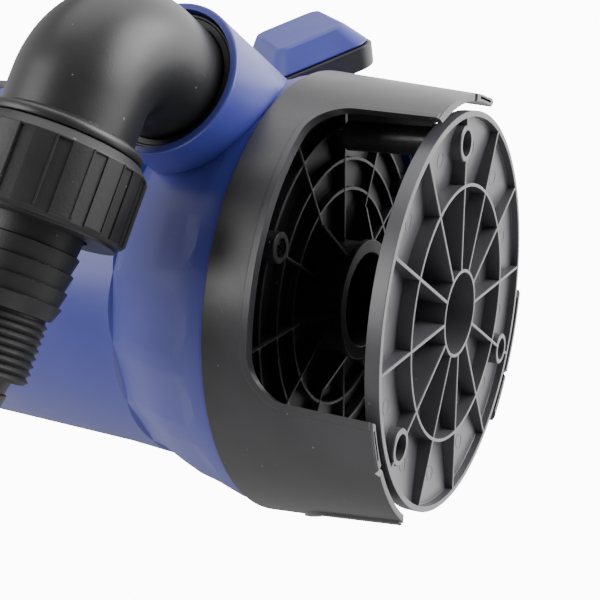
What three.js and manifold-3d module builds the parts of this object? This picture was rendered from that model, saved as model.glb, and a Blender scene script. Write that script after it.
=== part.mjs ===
// Submersible pump: strainer base, motor housing, swivelling outlet elbow with a
// stepped hose tail, and a float switch on a side holder.
// Millimetres, +Z up. The pump stands on its base plate and its outlet faces -Y.
import * as THREE from 'three';
import { mergeVertices } from 'three/addons/utils/BufferGeometryUtils.js';
import Module from 'manifold-3d';

const wasm = await Module();
wasm.setup();

// Clearances, how far joined solids run into each other and how far a cutter runs past a face
const partGap = 0.3;
const shaftClearance = 0.08;
const swivelClearance = 0.5;
const sealPlateClearance = 1;
const overlap = 1;
const overrun = 2;
const screwSink = 1;

// Facets on round pieces
const wideFacets = 48;
const mediumFacets = 28;
const smallFacets = 12;
const screwFacets = 8;
const cornerSteps = 3;
const handleCornerSteps = 2;
const elbowFacets = 28;
const elbowSteps = 12;
const handleSteps = 20;

// The skirt's top sets the size of the round pieces above and below it
const skirtTopRadius = 93;

// Base plate: a shallow dish with its open side down
const plateInset = 13;
const plateLipWidth = 2.4;
const plateWallHeight = 5.5;
const plateSkin = 2.2;
const plateFloorHeights = { lip: 3.2, middleRing: 6, centreRing: 12 };
const middleRingShare = 0.6413;
const centreRingRadius = 17.2;
const plateRibThickness = 1.4;
const spokeCount = 12;
const legCount = 3;
const firstLegAngle = -Math.PI / 6;
const screwCircleInset = 12;
const plateBossRadius = 7;
const plateBossTop = 13;
const plateBossHoleRadius = 5;
const plateBossHoleDepth = 8;

// Intake skirt: three legs with an arched window between each two
const skirtFootMargin = 6.4;
const skirtHeight = 62.8;
const skirtWall = 3;
const windowWidthShare = 0.5882;
const windowBand = 18.2;
const windowCornerRadius = 13.9;
const postRadius = 6;
const postClearance = 12.8;
const webThickness = 3;

// Suction plate, above the windows, with its inlet neck pointing down
const suctionFaceDrop = 7.3;
const suctionRibHeight = 4.2;
const suctionPlateThickness = 2.5;
const suctionRibThickness = 1.4;
const suctionRingShares = [0.5365, 0.6824, 0.8388];
const neckOuterRadius = 24;
const neckBoreRadius = 19.8;
const neckLength = 14.5;
const neckRimHeight = 3;
const neckRimOverhang = 1.2;
const gussetReach = 16;
const suctionBossRadius = 5.8;
const suctionBossLength = 8.5;
const suctionScrewInset = 13.5;

// Pump housing: flared foot, body, chamber and motor bore in one piece
const housingRimOverhang = 0.1;
const housingRimHeight = 1.6;
const flareShares = [0.843, 0.714, 0.593, 0.364, 0.086];
const flareRises = [7.1, 14.6, 24.2, 34.1, 44.2];
const bodyInset = 14;
const bodyTaperRise = 72.9;
const bodyWall = 3.5;
const bodyHeight = 172.3;
const spigotWall = 3;
const spigotGap = 1.7;
const spigotLength = 11.1;
const chamberInset = 9;
const chamberHeight = 47.7;
const motorFloorThickness = 6;
const sealSeatRadius = 15;
const coverPostRadius = 5.5;
const coverPostLength = 30.4;
const coverScrewInset = 7.5;

// Outlet collar, off to one side of the pump's axis
const outletInset = 28.6;
const outletRise = 31.2;
const collarReach = 22.8;
const collarLipRadius = 29.8;
const collarRootRadius = 31;
const collarRootDepth = 24;
const collarBoreRadius = 27.1;
const collarBoreDepth = 19.8;
const throatRadius = 16;
const throatDrop = 6.3;
const throatDepth = 39;

// Elbow: its corner stands in front of the collar, its tail leg is nearly level
const elbowReach = 37.6;
const elbowRadius = 22.7;
const elbowBoreRadius = 18.5;
const elbowBendRadius = 24.5;
const tailRise = 5.6 * Math.PI / 180;
const elbowFlangeThickness = 4.4;
const elbowSpigotRadius = 25;
const elbowSpigotEnd = 54;
const beadRadius = 27;
const beadStart = 36.4;
const beadEnd = 41;
const beadChamfer = 1;
const ringInset = 2.3;
const ringThickness = 4.5;
const sealThickness = 3.4;

// Union nut, gasket and stepped hose tail, measured from the elbow's corner
const nutRadius = 30.6;
const nutShoulderEnd = 44.8;
const nutGripEnd = 67.8;
const nutEnd = 70.2;
const nutEndRadius = 28.3;
const nutEndBand = 1;
const nutWebThickness = 7.7;
const nutFlatCount = 16;
const nutGrooveDepth = 0.9;
const nutGrooveShare = 0.32;
const gasketThickness = 2;
const tailRadius = 18.4;
const tailBarbTips = [76, 81.8, 87.6, 93];
const tailBarbValley = 17.2;
const tailTaperEnd = 98.1;
const tailTaperRadius = 16.5;
const threadRelief = 1;
const threadCount = 8;
const threadPitch = 2.6;
const threadCrest = 16.1;
const threadRoot = 14.9;
const threadCrestShare = 0.5;
const smallTipRadius = 11.3;
const smallValleyRadius = 10.4;
const smallBarbTips = [124.4, 130.2, 136];
const tailEnd = 142;
const tailEndRadius = 9.8;
const tailBoreRadius = 12.5;
const tailSmallBoreRadius = 7.6;

// Motor, shaft and impeller
const shaftRadius = 8;
const shaftTipRadius = 5;
const shaftTipRise = 1.7;
const shaftTipLength = 10;
const shaftTopGap = 6;
const impellerInset = 8;
const impellerBackGap = 18;
const impellerBackThickness = 4;
const impellerHubRadius = 15;
const impellerHubGap = 14;
const vaneCount = 5;
const vanePoints = 5;
const vaneThickness = 3;
const vaneHeight = 18;
const vaneInnerRadius = 20;
const vaneInset = 1;
const vaneBend = 0.7;
const impellerNutRadius = 10;
const impellerNutHeight = 6.5;
const rotorShare = 0.631;
const rotorEndShares = [0.217, 0.736];
const airGap = 0.6;
const canShare = 0.682;
const canWall = 2;
const canDrop = 17.4;
const windingShares = [0.75, 0.88];
const windingHeight = 8;
const bearingOuterRadius = 17;
const bearingHeight = 12;
const bearingCupWall = 3.5;
const lowerBearingRise = 1.2;
const upperBearingDrop = 22;
const sealPlateThickness = 5;
const shaftSealOverhang = 3;
const capacitorRadius = 13;
const capacitorLength = 56;
const capacitorOffset = 24;

// Top cover, handle and cable glands
const coverSealThickness = 2;
const coverRimOverhang = 3;
const coverHeight = 26;
const coverInsets = [-0.3, 1.5, 9];
const coverRiseShares = [0.115, 0.5, 0.865];
const coverCrownInset = 19;
const coverSkin = 6;
const coverScrewRise = 14;
const handleFootX = 46;
const handleFootLength = 30;
const handleFootWidth = 26;
const handleFootThickness = 5;
const handleHeight = 54;
const handleCornerRadius = 20;
const handleBarWidth = 22;
const handleBarThickness = 13;
const gripLength = 50;
const gripWall = 3;
const barCornerShare = 0.33;
const gripCornerShare = 0.5;
const footCornerShare = 0.25;
const glandPlaces = { power_gland: [-15, 44], float_gland: [15, 44] };
const glandRadius = 9.5;
const glandHeight = 20;
const glandMouthRadius = 4;
const glandStemShare = 0.8;
const glandTipShare = 0.6;

// Screws
const plateScrew = { shank: 2.2, head: 4.2, headHeight: 3, length: 26 };
const suctionScrew = { shank: 1.9, head: 3.4, headHeight: 2.6, length: 22 };
const coverScrew = { shank: 2, head: 4, headHeight: 3, length: 38 };
const footScrew = { shank: 2, head: 4, headHeight: 2.6, length: 11 };
const holderScrew = { shank: 2, head: 4, headHeight: 2.6, length: 5.2 };

// Float switch: two shells round a ball and its switch, turning on the holder's peg
const floatReach = 48.88;
const floatAngle = 12.19 * Math.PI / 180;
const floatRise = 51.9;
const floatLongAxis = new THREE.Vector3(0.45, 0.625, 0.638);
const floatTopSide = new THREE.Vector3(0.664, -0.71, 0.228);
const floatWidth = 50;
const floatLength = 80;
const floatHalfHeight = 11;
const floatTopInset = 8;
const floatBottomInset = 2;
const floatLowerOversize = 1;
const floatCornerRadius = 9;
const floatWall = 2;
const floatHubRadius = 9;
const floatHubDepth = 6;
const pegRadius = 5;
const holderDiscRadius = 9;
const holderDiscThickness = 8.5;
const holderArmWidth = 12;
const holderArmHeight = 14;
const holderPadWidth = 26;
const holderPadHeight = 44;
const holderPadThickness = 5;
const holderPadRaise = 16;
const holderScrewSpread = 14;
const holderScrewSink = 2;
const ballRadius = 5;
const switchSize = [16, 20, 9];
const switchMargin = 6;

// Colours and surfaces
const blue = { color: 0x2f3f9c, roughness: 0.45, metalness: 0 };
const charcoal = { color: 0x35353a, roughness: 0.6, metalness: 0 };
const black = { color: 0x161618, roughness: 0.5, metalness: 0 };
const rubber = { color: 0x101011, roughness: 0.9, metalness: 0 };
const steel = { color: 0xb4b7ba, roughness: 0.35, metalness: 1 };
const copper = { color: 0xb06a3a, roughness: 0.5, metalness: 1 };
const brass = { color: 0xb99a4e, roughness: 0.4, metalness: 1 };

const pump = new THREE.Group();
pump.name = 'submersible_pump';

// Turn a closed geometry into a solid: weld it, drop empty triangles, face it outward
function solidFrom(geometry) {
  const loose = geometry.index ? geometry.toNonIndexed() : geometry;
  const bare = new THREE.BufferGeometry();
  bare.setAttribute('position', loose.attributes.position);
  const welded = mergeVertices(bare);
  const place = welded.attributes.position;
  const corners = [];
  let volume = 0;
  for (let i = 0; i < welded.index.count; i += 3) {
    const [a, b, c] = [0, 1, 2].map((k) => welded.index.getX(i + k));
    if (a === b || b === c || c === a) continue;
    corners.push([a, b, c]);
    const [p, q, r] = [a, b, c].map((k) => new THREE.Vector3().fromBufferAttribute(place, k));
    volume += p.dot(q.cross(r));
  }
  if (volume < 0) corners.forEach((corner) => corner.reverse());
  return new wasm.Manifold(new wasm.Mesh({
    numProp: 3,
    vertProperties: new Float32Array(place.array),
    triVerts: new Uint32Array(corners.flat()),
  }));
}

// A closed [radius, height] outline turned about +Z
function turned(outline, facets, pose = new THREE.Matrix4()) {
  const points = [...outline, outline[0]].map(([radius, height]) => new THREE.Vector2(radius, height));
  const geometry = new THREE.LatheGeometry(points, facets);
  return solidFrom(geometry.rotateX(Math.PI / 2).applyMatrix4(pose));
}

function disc(radius, bottom, top, facets, pose) {
  return turned([[0, bottom], [radius, bottom], [radius, top], [0, top]], facets, pose);
}

function ring(innerRadius, outerRadius, bottom, top, facets, pose) {
  const outline = [[innerRadius, bottom], [outerRadius, bottom], [outerRadius, top], [innerRadius, top]];
  return turned(outline, facets, pose);
}

// A box between two opposite corners
function block(low, high, pose = new THREE.Matrix4()) {
  const box = new THREE.Box3(new THREE.Vector3(...low), new THREE.Vector3(...high));
  const size = box.getSize(new THREE.Vector3());
  const centre = box.getCenter(new THREE.Vector3());
  const geometry = new THREE.BoxGeometry(size.x, size.y, size.z);
  return solidFrom(geometry.translate(centre.x, centre.y, centre.z).applyMatrix4(pose));
}

// A flat shape given thickness along +Z
function slab(shape, bottom, top, pose = new THREE.Matrix4()) {
  const geometry = new THREE.ExtrudeGeometry(shape, {
    depth: top - bottom,
    bevelEnabled: false,
    curveSegments: cornerSteps,
  });
  return solidFrom(geometry.translate(0, 0, bottom).applyMatrix4(pose));
}

// A flat shape swept along a path
function swept(shape, path, steps, curveSegments) {
  return solidFrom(new THREE.ExtrudeGeometry(shape, {
    steps,
    extrudePath: path,
    bevelEnabled: false,
    curveSegments,
  }));
}

function roundedRectangle(width, length, radius) {
  const shape = new THREE.Shape();
  const [x, y] = [width / 2, length / 2];
  const corners = [[x - radius, y - radius], [radius - x, y - radius],
    [radius - x, radius - y], [x - radius, radius - y]];
  corners.forEach(([cx, cy], quarter) => {
    const start = quarter * Math.PI / 2;
    shape.absarc(cx, cy, radius, start, start + Math.PI / 2, false);
  });
  shape.closePath();
  return shape;
}

// A solid between two convex outlines that have the same number of points
function loft(low, high) {
  const positions = [];
  const push = (...points) => points.forEach((point) => positions.push(point.x, point.y, point.z));
  low.forEach((point, i) => {
    const next = (i + 1) % low.length;
    push(point, low[next], high[next], point, high[next], high[i]);
    if (i > 0 && next > 0) {
      push(low[0], low[next], point);
      push(high[0], high[i], high[next]);
    }
  });
  const geometry = new THREE.BufferGeometry();
  geometry.setAttribute('position', new THREE.Float32BufferAttribute(positions, 3));
  return solidFrom(geometry);
}

function shellOutline(width, length, radius, height) {
  const points = roundedRectangle(width, length, radius).getPoints(cornerSteps);
  const open = points.filter((point, i) => i === 0 || point.distanceTo(points[i - 1]) > partGap);
  if (open[0].distanceTo(open[open.length - 1]) < partGap) open.pop();
  return open.map((point) => new THREE.Vector3(point.x, point.y, height));
}

function aboutAxis(angle) {
  return new THREE.Matrix4().makeRotationZ(angle);
}

function shifted(x, y, z) {
  return new THREE.Matrix4().makeTranslation(x, y, z);
}

function joined(solids) {
  return solids.reduce((sum, solid) => sum.add(solid));
}

function addPiece(name, solid, look, group = pump) {
  const data = solid.getMesh();
  const geometry = new THREE.BufferGeometry();
  geometry.setAttribute('position', new THREE.BufferAttribute(new Float32Array(data.vertProperties), 3));
  geometry.setIndex(new THREE.BufferAttribute(new Uint32Array(data.triVerts), 1));
  geometry.computeVertexNormals();
  const mesh = new THREE.Mesh(geometry, new THREE.MeshStandardMaterial(look));
  mesh.name = name;
  group.add(mesh);
  return mesh;
}

// A pan-headed screw; its head sits at height zero and its shank runs down
function screwSolid({ shank, head, headHeight, length }) {
  return disc(shank, -length, overrun / 2, screwFacets).add(disc(head, 0, headHeight, screwFacets));
}

const plateRadius = skirtTopRadius - plateInset;
const bodyRadius = skirtTopRadius - bodyInset;
const screwCircleRadius = plateRadius - screwCircleInset;
const legAngles = Array.from({ length: legCount }, (_, i) => firstLegAngle + i * 2 * Math.PI / legCount);
const windowAngles = legAngles.map((angle) => angle - Math.PI / legCount);

// Base plate
const middleRingRadius = plateRadius * middleRingShare;
const plateFloor = [
  [0, plateFloorHeights.centreRing],
  [centreRingRadius, plateFloorHeights.centreRing],
  [middleRingRadius, plateFloorHeights.middleRing],
  [plateRadius - plateLipWidth, plateFloorHeights.lip],
];
const plateTop = [
  [plateRadius - plateLipWidth, plateWallHeight],
  [middleRingRadius, plateFloorHeights.middleRing + plateSkin],
  [centreRingRadius, plateFloorHeights.centreRing + plateSkin],
  [0, plateFloorHeights.centreRing + plateSkin],
];
const plateDish = turned([
  ...plateFloor,
  [plateRadius - plateLipWidth, 0],
  [plateRadius, 0],
  [plateRadius, plateWallHeight],
  ...plateTop,
], wideFacets);
const belowPlateTop = turned([
  [0, 0],
  [plateRadius - plateLipWidth / 2, 0],
  ...plateTop.map(([radius, height]) => [radius, height - plateSkin / 2]),
], wideFacets);
const plateSpokes = Array.from({ length: spokeCount }, (_, i) => block(
  [centreRingRadius, -plateRibThickness / 2, 0],
  [plateRadius, plateRibThickness / 2, plateBossTop],
  aboutAxis(firstLegAngle + i * 2 * Math.PI / spokeCount),
));
const plateRings = [middleRingRadius, centreRingRadius].map((radius) => ring(
  radius - plateRibThickness / 2,
  radius + plateRibThickness / 2,
  0,
  plateBossTop,
  wideFacets,
));
const onScrewCircle = legAngles.map((angle) => aboutAxis(angle).multiply(shifted(screwCircleRadius, 0, 0)));
const plateBosses = onScrewCircle.map((pose) => disc(plateBossRadius, 0, plateBossTop, smallFacets, pose));
let basePlate = joined([...plateSpokes, ...plateRings]).intersect(belowPlateTop);
basePlate = joined([basePlate, plateDish, ...plateBosses]);
for (const pose of onScrewCircle) {
  basePlate = basePlate
    .subtract(disc(plateBossHoleRadius, -overrun, plateBossHoleDepth, smallFacets, pose))
    .subtract(disc(plateScrew.shank + partGap, 0, plateBossTop + overrun, smallFacets, pose));
}
addPiece('base_plate', basePlate, charcoal);
legAngles.forEach((angle, i) => {
  const screw = addPiece(`base_screw_${i + 1}`, screwSolid(plateScrew), steel);
  screw.rotation.set(Math.PI, 0, 0);
  const seat = plateBossHoleDepth - partGap;
  screw.position.set(screwCircleRadius * Math.cos(angle), screwCircleRadius * Math.sin(angle), seat);
});

// Intake skirt with its windows, posts and webs
const skirtFootRadius = plateRadius + skirtFootMargin;
const windowTop = skirtHeight - windowBand;
const postTop = skirtHeight - postClearance;
const skirtShell = turned([
  [skirtFootRadius - skirtWall, 0],
  [skirtFootRadius, 0],
  [skirtTopRadius, skirtHeight],
  [skirtTopRadius - skirtWall, skirtHeight],
], wideFacets);
const windowHalfWidth = skirtTopRadius * windowWidthShare;
const windowShape = new THREE.Shape();
windowShape.moveTo(-windowHalfWidth, -overrun);
windowShape.lineTo(windowHalfWidth, -overrun);
windowShape.absarc(windowHalfWidth - windowCornerRadius, windowTop - windowCornerRadius, windowCornerRadius,
  0, Math.PI / 2, false);
windowShape.absarc(windowCornerRadius - windowHalfWidth, windowTop - windowCornerRadius, windowCornerRadius,
  Math.PI / 2, Math.PI, false);
windowShape.closePath();
const standUp = new THREE.Matrix4().makeRotationX(Math.PI / 2);
const postBottom = plateBossTop + partGap;
const insideSkirt = turned([
  [0, 0],
  [skirtFootRadius - skirtWall / 2, 0],
  [skirtTopRadius - skirtWall / 2, skirtHeight],
  [0, skirtHeight],
], wideFacets);
let skirt = skirtShell;
for (const angle of windowAngles) {
  const facing = aboutAxis(angle + Math.PI / 2).multiply(standUp);
  skirt = skirt.subtract(slab(windowShape, screwCircleRadius / 2, skirtTopRadius + overrun, facing));
}
for (const [i, angle] of legAngles.entries()) {
  const web = block(
    [screwCircleRadius, -webThickness / 2, postBottom],
    [skirtTopRadius, webThickness / 2, postTop],
    aboutAxis(angle),
  ).intersect(insideSkirt);
  skirt = joined([skirt, web, disc(postRadius, postBottom, postTop, smallFacets, onScrewCircle[i])]);
  const screwHole = disc(plateScrew.shank + partGap, 0, postTop - overrun, smallFacets, onScrewCircle[i]);
  skirt = skirt.subtract(screwHole);
}
addPiece('intake_skirt', skirt, charcoal);

// Suction plate with ribs, neck, gussets and screw bosses
const suctionFaceHeight = skirtHeight - suctionFaceDrop;
const suctionTop = suctionFaceHeight + suctionPlateThickness;
const suctionRibBottom = suctionFaceHeight - suctionRibHeight;
const suctionBossBottom = suctionFaceHeight - suctionBossLength;
const neckBottom = suctionFaceHeight - neckLength;
const spigotOuterRadius = skirtTopRadius - skirtWall - spigotGap;
const spigotInnerRadius = spigotOuterRadius - spigotWall;
const suctionRadius = spigotInnerRadius - partGap;
const suctionScrewRadius = suctionRadius - suctionScrewInset;
const suctionRibs = Array.from({ length: spokeCount }, (_, i) => block(
  [neckBoreRadius + partGap, -suctionRibThickness / 2, suctionRibBottom],
  [suctionRadius - overlap, suctionRibThickness / 2, suctionFaceHeight + overlap],
  aboutAxis(firstLegAngle + i * 2 * Math.PI / spokeCount),
));
const suctionRings = suctionRingShares.map((share) => ring(
  suctionRadius * share - suctionRibThickness / 2,
  suctionRadius * share + suctionRibThickness / 2,
  suctionRibBottom,
  suctionFaceHeight + overlap,
  wideFacets,
));
const neck = turned([
  [neckBoreRadius - overlap, neckBottom],
  [neckOuterRadius + neckRimOverhang, neckBottom],
  [neckOuterRadius + neckRimOverhang, neckBottom + neckRimHeight],
  [neckOuterRadius, neckBottom + neckRimHeight],
  [neckOuterRadius, suctionTop - overlap],
  [neckBoreRadius - overlap, suctionTop - overlap],
], mediumFacets);
const gussetShape = new THREE.Shape([
  new THREE.Vector2(neckOuterRadius - overlap, neckBottom + neckRimHeight),
  new THREE.Vector2(neckOuterRadius + neckRimOverhang, neckBottom + neckRimHeight),
  new THREE.Vector2(neckOuterRadius + gussetReach, suctionRibBottom + overlap),
  new THREE.Vector2(neckOuterRadius - overlap, suctionRibBottom + overlap),
]);
const gussets = Array.from({ length: spokeCount / 2 }, (_, i) => slab(
  gussetShape,
  -suctionRibThickness / 2,
  suctionRibThickness / 2,
  aboutAxis(firstLegAngle * 2 + i * 4 * Math.PI / spokeCount).multiply(standUp),
));
const suctionPlaces = windowAngles.map(
  (angle) => aboutAxis(angle).multiply(shifted(suctionScrewRadius, 0, 0)),
);
const suctionBosses = suctionPlaces.map((pose) => disc(
  suctionBossRadius,
  suctionBossBottom,
  suctionTop - overlap,
  smallFacets,
  pose,
));
let suctionPlate = joined([
  disc(suctionRadius, suctionFaceHeight, suctionTop, wideFacets),
  ...suctionRibs,
  ...suctionRings,
  neck,
  ...gussets,
  ...suctionBosses,
]);
const neckBore = disc(neckBoreRadius, neckBottom - overrun, suctionTop + overrun, mediumFacets);
suctionPlate = suctionPlate.subtract(neckBore);
const suctionScrewSeat = suctionBossBottom + suctionScrew.headHeight + screwSink;
for (const pose of suctionPlaces) {
  suctionPlate = suctionPlate
    .subtract(disc(suctionScrew.head + partGap, 0, suctionScrewSeat, smallFacets, pose))
    .subtract(disc(suctionScrew.shank + partGap, 0, suctionTop + overrun, smallFacets, pose));
}
addPiece('suction_plate', suctionPlate, black);
windowAngles.forEach((angle, i) => {
  const screw = addPiece(`suction_screw_${i + 1}`, screwSolid(suctionScrew), steel);
  screw.rotation.set(Math.PI, 0, 0);
  const seat = suctionScrewSeat - partGap;
  screw.position.set(suctionScrewRadius * Math.cos(angle), suctionScrewRadius * Math.sin(angle), seat);
});

// Pump housing with its outlet collar
const housingRimBottom = skirtHeight + partGap;
const housingFloor = suctionTop + partGap;
const housingTop = housingRimBottom + bodyHeight;
const spigotBottom = housingRimBottom - spigotLength;
const chamberRadius = bodyRadius - chamberInset;
const chamberTop = housingFloor + chamberHeight;
const motorFloor = chamberTop + motorFloorThickness;
const motorBoreRadius = bodyRadius - bodyWall;
const outletX = bodyRadius - outletInset;
const outletHeight = housingRimBottom + outletRise;
const collarLip = bodyRadius + collarReach;
const coverPostBottom = housingTop - coverPostLength;
const coverScrewCircle = bodyRadius - coverScrewInset;
const bodyProfile = [
  ...flareShares.map((share, i) => [
    THREE.MathUtils.lerp(bodyRadius, skirtTopRadius, share),
    housingRimBottom + flareRises[i],
  ]),
  [bodyRadius, housingRimBottom + bodyTaperRise],
  [bodyRadius, housingTop],
];
const chamber = disc(chamberRadius, housingFloor - overrun, chamberTop, wideFacets);
const motorBore = disc(motorBoreRadius, motorFloor, housingTop + overrun, wideFacets);
const sealSeat = disc(sealSeatRadius, chamberTop - overrun, motorFloor + overrun, mediumFacets);
const housingBody = turned([
  [0, housingFloor],
  [spigotInnerRadius, housingFloor],
  [spigotInnerRadius, spigotBottom],
  [spigotOuterRadius, spigotBottom],
  [spigotOuterRadius, housingRimBottom],
  [skirtTopRadius + housingRimOverhang, housingRimBottom],
  [skirtTopRadius + housingRimOverhang, housingRimBottom + housingRimHeight],
  ...bodyProfile,
  [0, housingTop],
], wideFacets);
const outletPose = shifted(outletX, 0, outletHeight).multiply(standUp);
const throatPose = shifted(outletX, 0, outletHeight - throatDrop).multiply(standUp);
const collar = turned([
  [0, bodyRadius - collarRootDepth],
  [collarRootRadius, bodyRadius - collarRootDepth],
  [collarLipRadius, collarLip],
  [0, collarLip],
], mediumFacets, outletPose);
const coverScrewAngles = [1, 3, 5, 7].map((eighth) => eighth * Math.PI / 4);
const coverPlaces = coverScrewAngles.map(
  (angle) => aboutAxis(angle).multiply(shifted(coverScrewCircle, 0, 0)),
);
const collarBoreFloor = collarLip - collarBoreDepth;
const collarBore = disc(collarBoreRadius, collarBoreFloor, collarLip + overrun, mediumFacets, outletPose);
const throat = disc(throatRadius, bodyRadius - throatDepth, collarLip, mediumFacets, throatPose);
let housing = joined([housingBody, collar])
  .subtract(chamber)
  .subtract(motorBore)
  .subtract(sealSeat)
  .subtract(collarBore)
  .subtract(throat);
housing = joined([
  housing,
  ...coverPlaces.map((pose) => disc(coverPostRadius, coverPostBottom, housingTop, smallFacets, pose)),
]);
for (const pose of coverPlaces) {
  const shank = coverScrew.shank + partGap;
  const hole = disc(shank, coverPostBottom + overrun, housingTop + overrun, smallFacets, pose);
  housing = housing.subtract(hole);
}
for (const pose of suctionPlaces) {
  const shank = suctionScrew.shank + partGap;
  const hole = disc(shank, spigotBottom, housingFloor + suctionScrew.length, smallFacets, pose);
  housing = housing.subtract(hole);
}

// Float holder: a saddle pad on the housing, an arm and a peg for the float
const floatNormal = floatTopSide.clone().normalize();
const floatLean = floatLongAxis.dot(floatNormal);
const floatAlong = floatLongAxis.clone().addScaledVector(floatNormal, -floatLean).normalize();
const floatAcross = floatAlong.clone().cross(floatNormal);
const floatCentre = new THREE.Vector3(bodyRadius + floatReach, 0, housingRimBottom + floatRise)
  .applyMatrix4(aboutAxis(floatAngle));
const floatPose = new THREE.Matrix4()
  .makeBasis(floatAcross, floatAlong, floatNormal)
  .setPosition(floatCentre);
const discTop = -(floatHalfHeight + floatHubDepth + partGap);
const discBottom = discTop - holderDiscThickness;
const armEnd = new THREE.Vector3(0, 0, discBottom).applyMatrix4(floatPose);
const holderAngle = Math.atan2(armEnd.y, armEnd.x);
const holderPose = aboutAxis(holderAngle).multiply(shifted(0, 0, armEnd.z));
const padBack = bodyRadius - overrun;
const padFront = bodyRadius + holderPadThickness;
let holder = joined([
  block([padBack, -holderPadWidth / 2, holderPadRaise - holderPadHeight / 2],
    [padFront, holderPadWidth / 2, holderPadRaise + holderPadHeight / 2], holderPose),
  block([padBack, -holderArmWidth / 2, -holderArmHeight / 2],
    [Math.hypot(armEnd.x, armEnd.y), holderArmWidth / 2, holderArmHeight / 2], holderPose),
  disc(holderDiscRadius, discBottom, discTop, smallFacets, floatPose),
  disc(pegRadius, discBottom, discTop + floatHubDepth - partGap, mediumFacets, floatPose),
]);
const housingSkin = turned([
  [0, spigotBottom],
  ...bodyProfile.map(([radius, height]) => [radius + partGap, height]),
  [0, housingTop],
], wideFacets);
holder = holder.subtract(housingSkin);
const outward = new THREE.Matrix4().makeRotationY(Math.PI / 2);
const holderScrewPoses = [-holderScrewSpread, holderScrewSpread].map((height) => holderPose.clone()
  .multiply(shifted(padFront - holderScrewSink, 0, holderPadRaise + height))
  .multiply(outward));
const holderHole = { shank: holderScrew.shank + partGap, head: holderScrew.head + partGap };
for (const pose of holderScrewPoses) {
  const shankHole = disc(holderHole.shank, -holderScrew.length - partGap, overrun, smallFacets, pose);
  const headHole = disc(holderHole.head, -partGap, holderScrew.headHeight + overrun, smallFacets, pose);
  holder = holder.subtract(shankHole).subtract(headHole);
  housing = housing.subtract(shankHole);
}
addPiece('pump_housing', housing, blue);
addPiece('float_holder', holder, charcoal);
holderScrewPoses.forEach((pose, i) => {
  const screw = addPiece(`holder_screw_${i + 1}`, screwSolid(holderScrew), steel);
  screw.applyMatrix4(pose);
});

// Impeller, shaft and rotor
const impellerRadius = chamberRadius - impellerInset;
const impellerBack = chamberTop - impellerBackGap - impellerBackThickness;
const impellerHubTop = chamberTop - impellerHubGap;
const vaneBottom = impellerBack - vaneHeight;
const vaneOuterRadius = impellerRadius - vaneInset;
const canRadius = motorBoreRadius * canShare;
const rotorRadius = canRadius * rotorShare;
const shaftBottom = housingFloor + shaftTipRise;
const shaftStep = shaftBottom + shaftTipLength;
const sealPlateBottom = motorFloor + partGap;
const sealPlateTop = sealPlateBottom + sealPlateThickness;
const canTop = housingTop - canDrop;
const [rotorBottom, rotorTop] = rotorEndShares.map(
  (share) => THREE.MathUtils.lerp(motorFloor, canTop, share),
);
const lowerBearingBottom = sealPlateTop + lowerBearingRise;
const upperBearingBottom = canTop - upperBearingDrop;
const vaneSide = (side) => Array.from({ length: vanePoints }, (_, i) => {
  const share = i / (vanePoints - 1);
  const radius = THREE.MathUtils.lerp(vaneInnerRadius, vaneOuterRadius, share);
  const angle = vaneBend * share * share + side * vaneThickness / 2 / radius;
  return new THREE.Vector2(radius * Math.cos(angle), radius * Math.sin(angle));
});
const vaneShape = new THREE.Shape([...vaneSide(-1), ...vaneSide(1).reverse()]);
const vanes = Array.from({ length: vaneCount }, (_, i) => slab(
  vaneShape,
  vaneBottom,
  impellerBack + overlap,
  aboutAxis(i * 2 * Math.PI / vaneCount),
));
const impeller = joined([
  disc(impellerRadius, impellerBack, impellerBack + impellerBackThickness, wideFacets),
  disc(impellerHubRadius, shaftStep - overrun, impellerHubTop, mediumFacets),
  ...vanes,
])
  .subtract(disc(shaftRadius + partGap, shaftStep, impellerHubTop + overrun, mediumFacets))
  .subtract(disc(shaftTipRadius + partGap, 0, impellerHubTop, mediumFacets));
addPiece('impeller', impeller, black);
const nutTop = shaftStep - overrun - partGap;
const impellerNut = disc(impellerNutRadius, nutTop - impellerNutHeight, nutTop, 6)
  .subtract(disc(shaftTipRadius + partGap, shaftBottom, shaftStep, mediumFacets));
addPiece('impeller_nut', impellerNut, brass);
addPiece('shaft', turned([
  [0, shaftBottom],
  [shaftTipRadius, shaftBottom],
  [shaftTipRadius, shaftStep + partGap],
  [shaftRadius, shaftStep + partGap],
  [shaftRadius, canTop - shaftTopGap],
  [0, canTop - shaftTopGap],
], mediumFacets), steel);
addPiece('rotor', ring(shaftRadius + partGap, rotorRadius, rotorBottom, rotorTop, mediumFacets), steel);

// Motor: seal plate, can, stator, windings and bearings
const bearingBore = shaftRadius + shaftClearance;
const cupRadius = bearingOuterRadius + partGap;
const sealOuter = sealSeatRadius - partGap;
const sealBottom = chamberTop - shaftSealOverhang;
addPiece('shaft_seal', ring(bearingBore, sealOuter, sealBottom, motorFloor, mediumFacets), rubber);
addPiece('seal_plate', turned([
  [shaftRadius + sealPlateClearance, sealPlateBottom],
  [motorBoreRadius - partGap, sealPlateBottom],
  [motorBoreRadius - partGap, sealPlateTop],
  [cupRadius + bearingCupWall, sealPlateTop],
  [cupRadius + bearingCupWall, lowerBearingBottom + bearingHeight],
  [cupRadius, lowerBearingBottom + bearingHeight],
  [cupRadius, sealPlateTop],
  [shaftRadius + sealPlateClearance, sealPlateTop],
], wideFacets), black);
const canInner = canRadius - canWall;
addPiece('motor_can', turned([
  [canInner, sealPlateTop + partGap],
  [canRadius, sealPlateTop + partGap],
  [canRadius, canTop],
  [0, canTop],
  [0, canTop - canWall],
  [cupRadius, canTop - canWall],
  [cupRadius, upperBearingBottom],
  [cupRadius + bearingCupWall, upperBearingBottom],
  [cupRadius + bearingCupWall, canTop - canWall],
  [canInner, canTop - canWall],
], wideFacets), steel);
const statorInner = rotorRadius + airGap;
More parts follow.
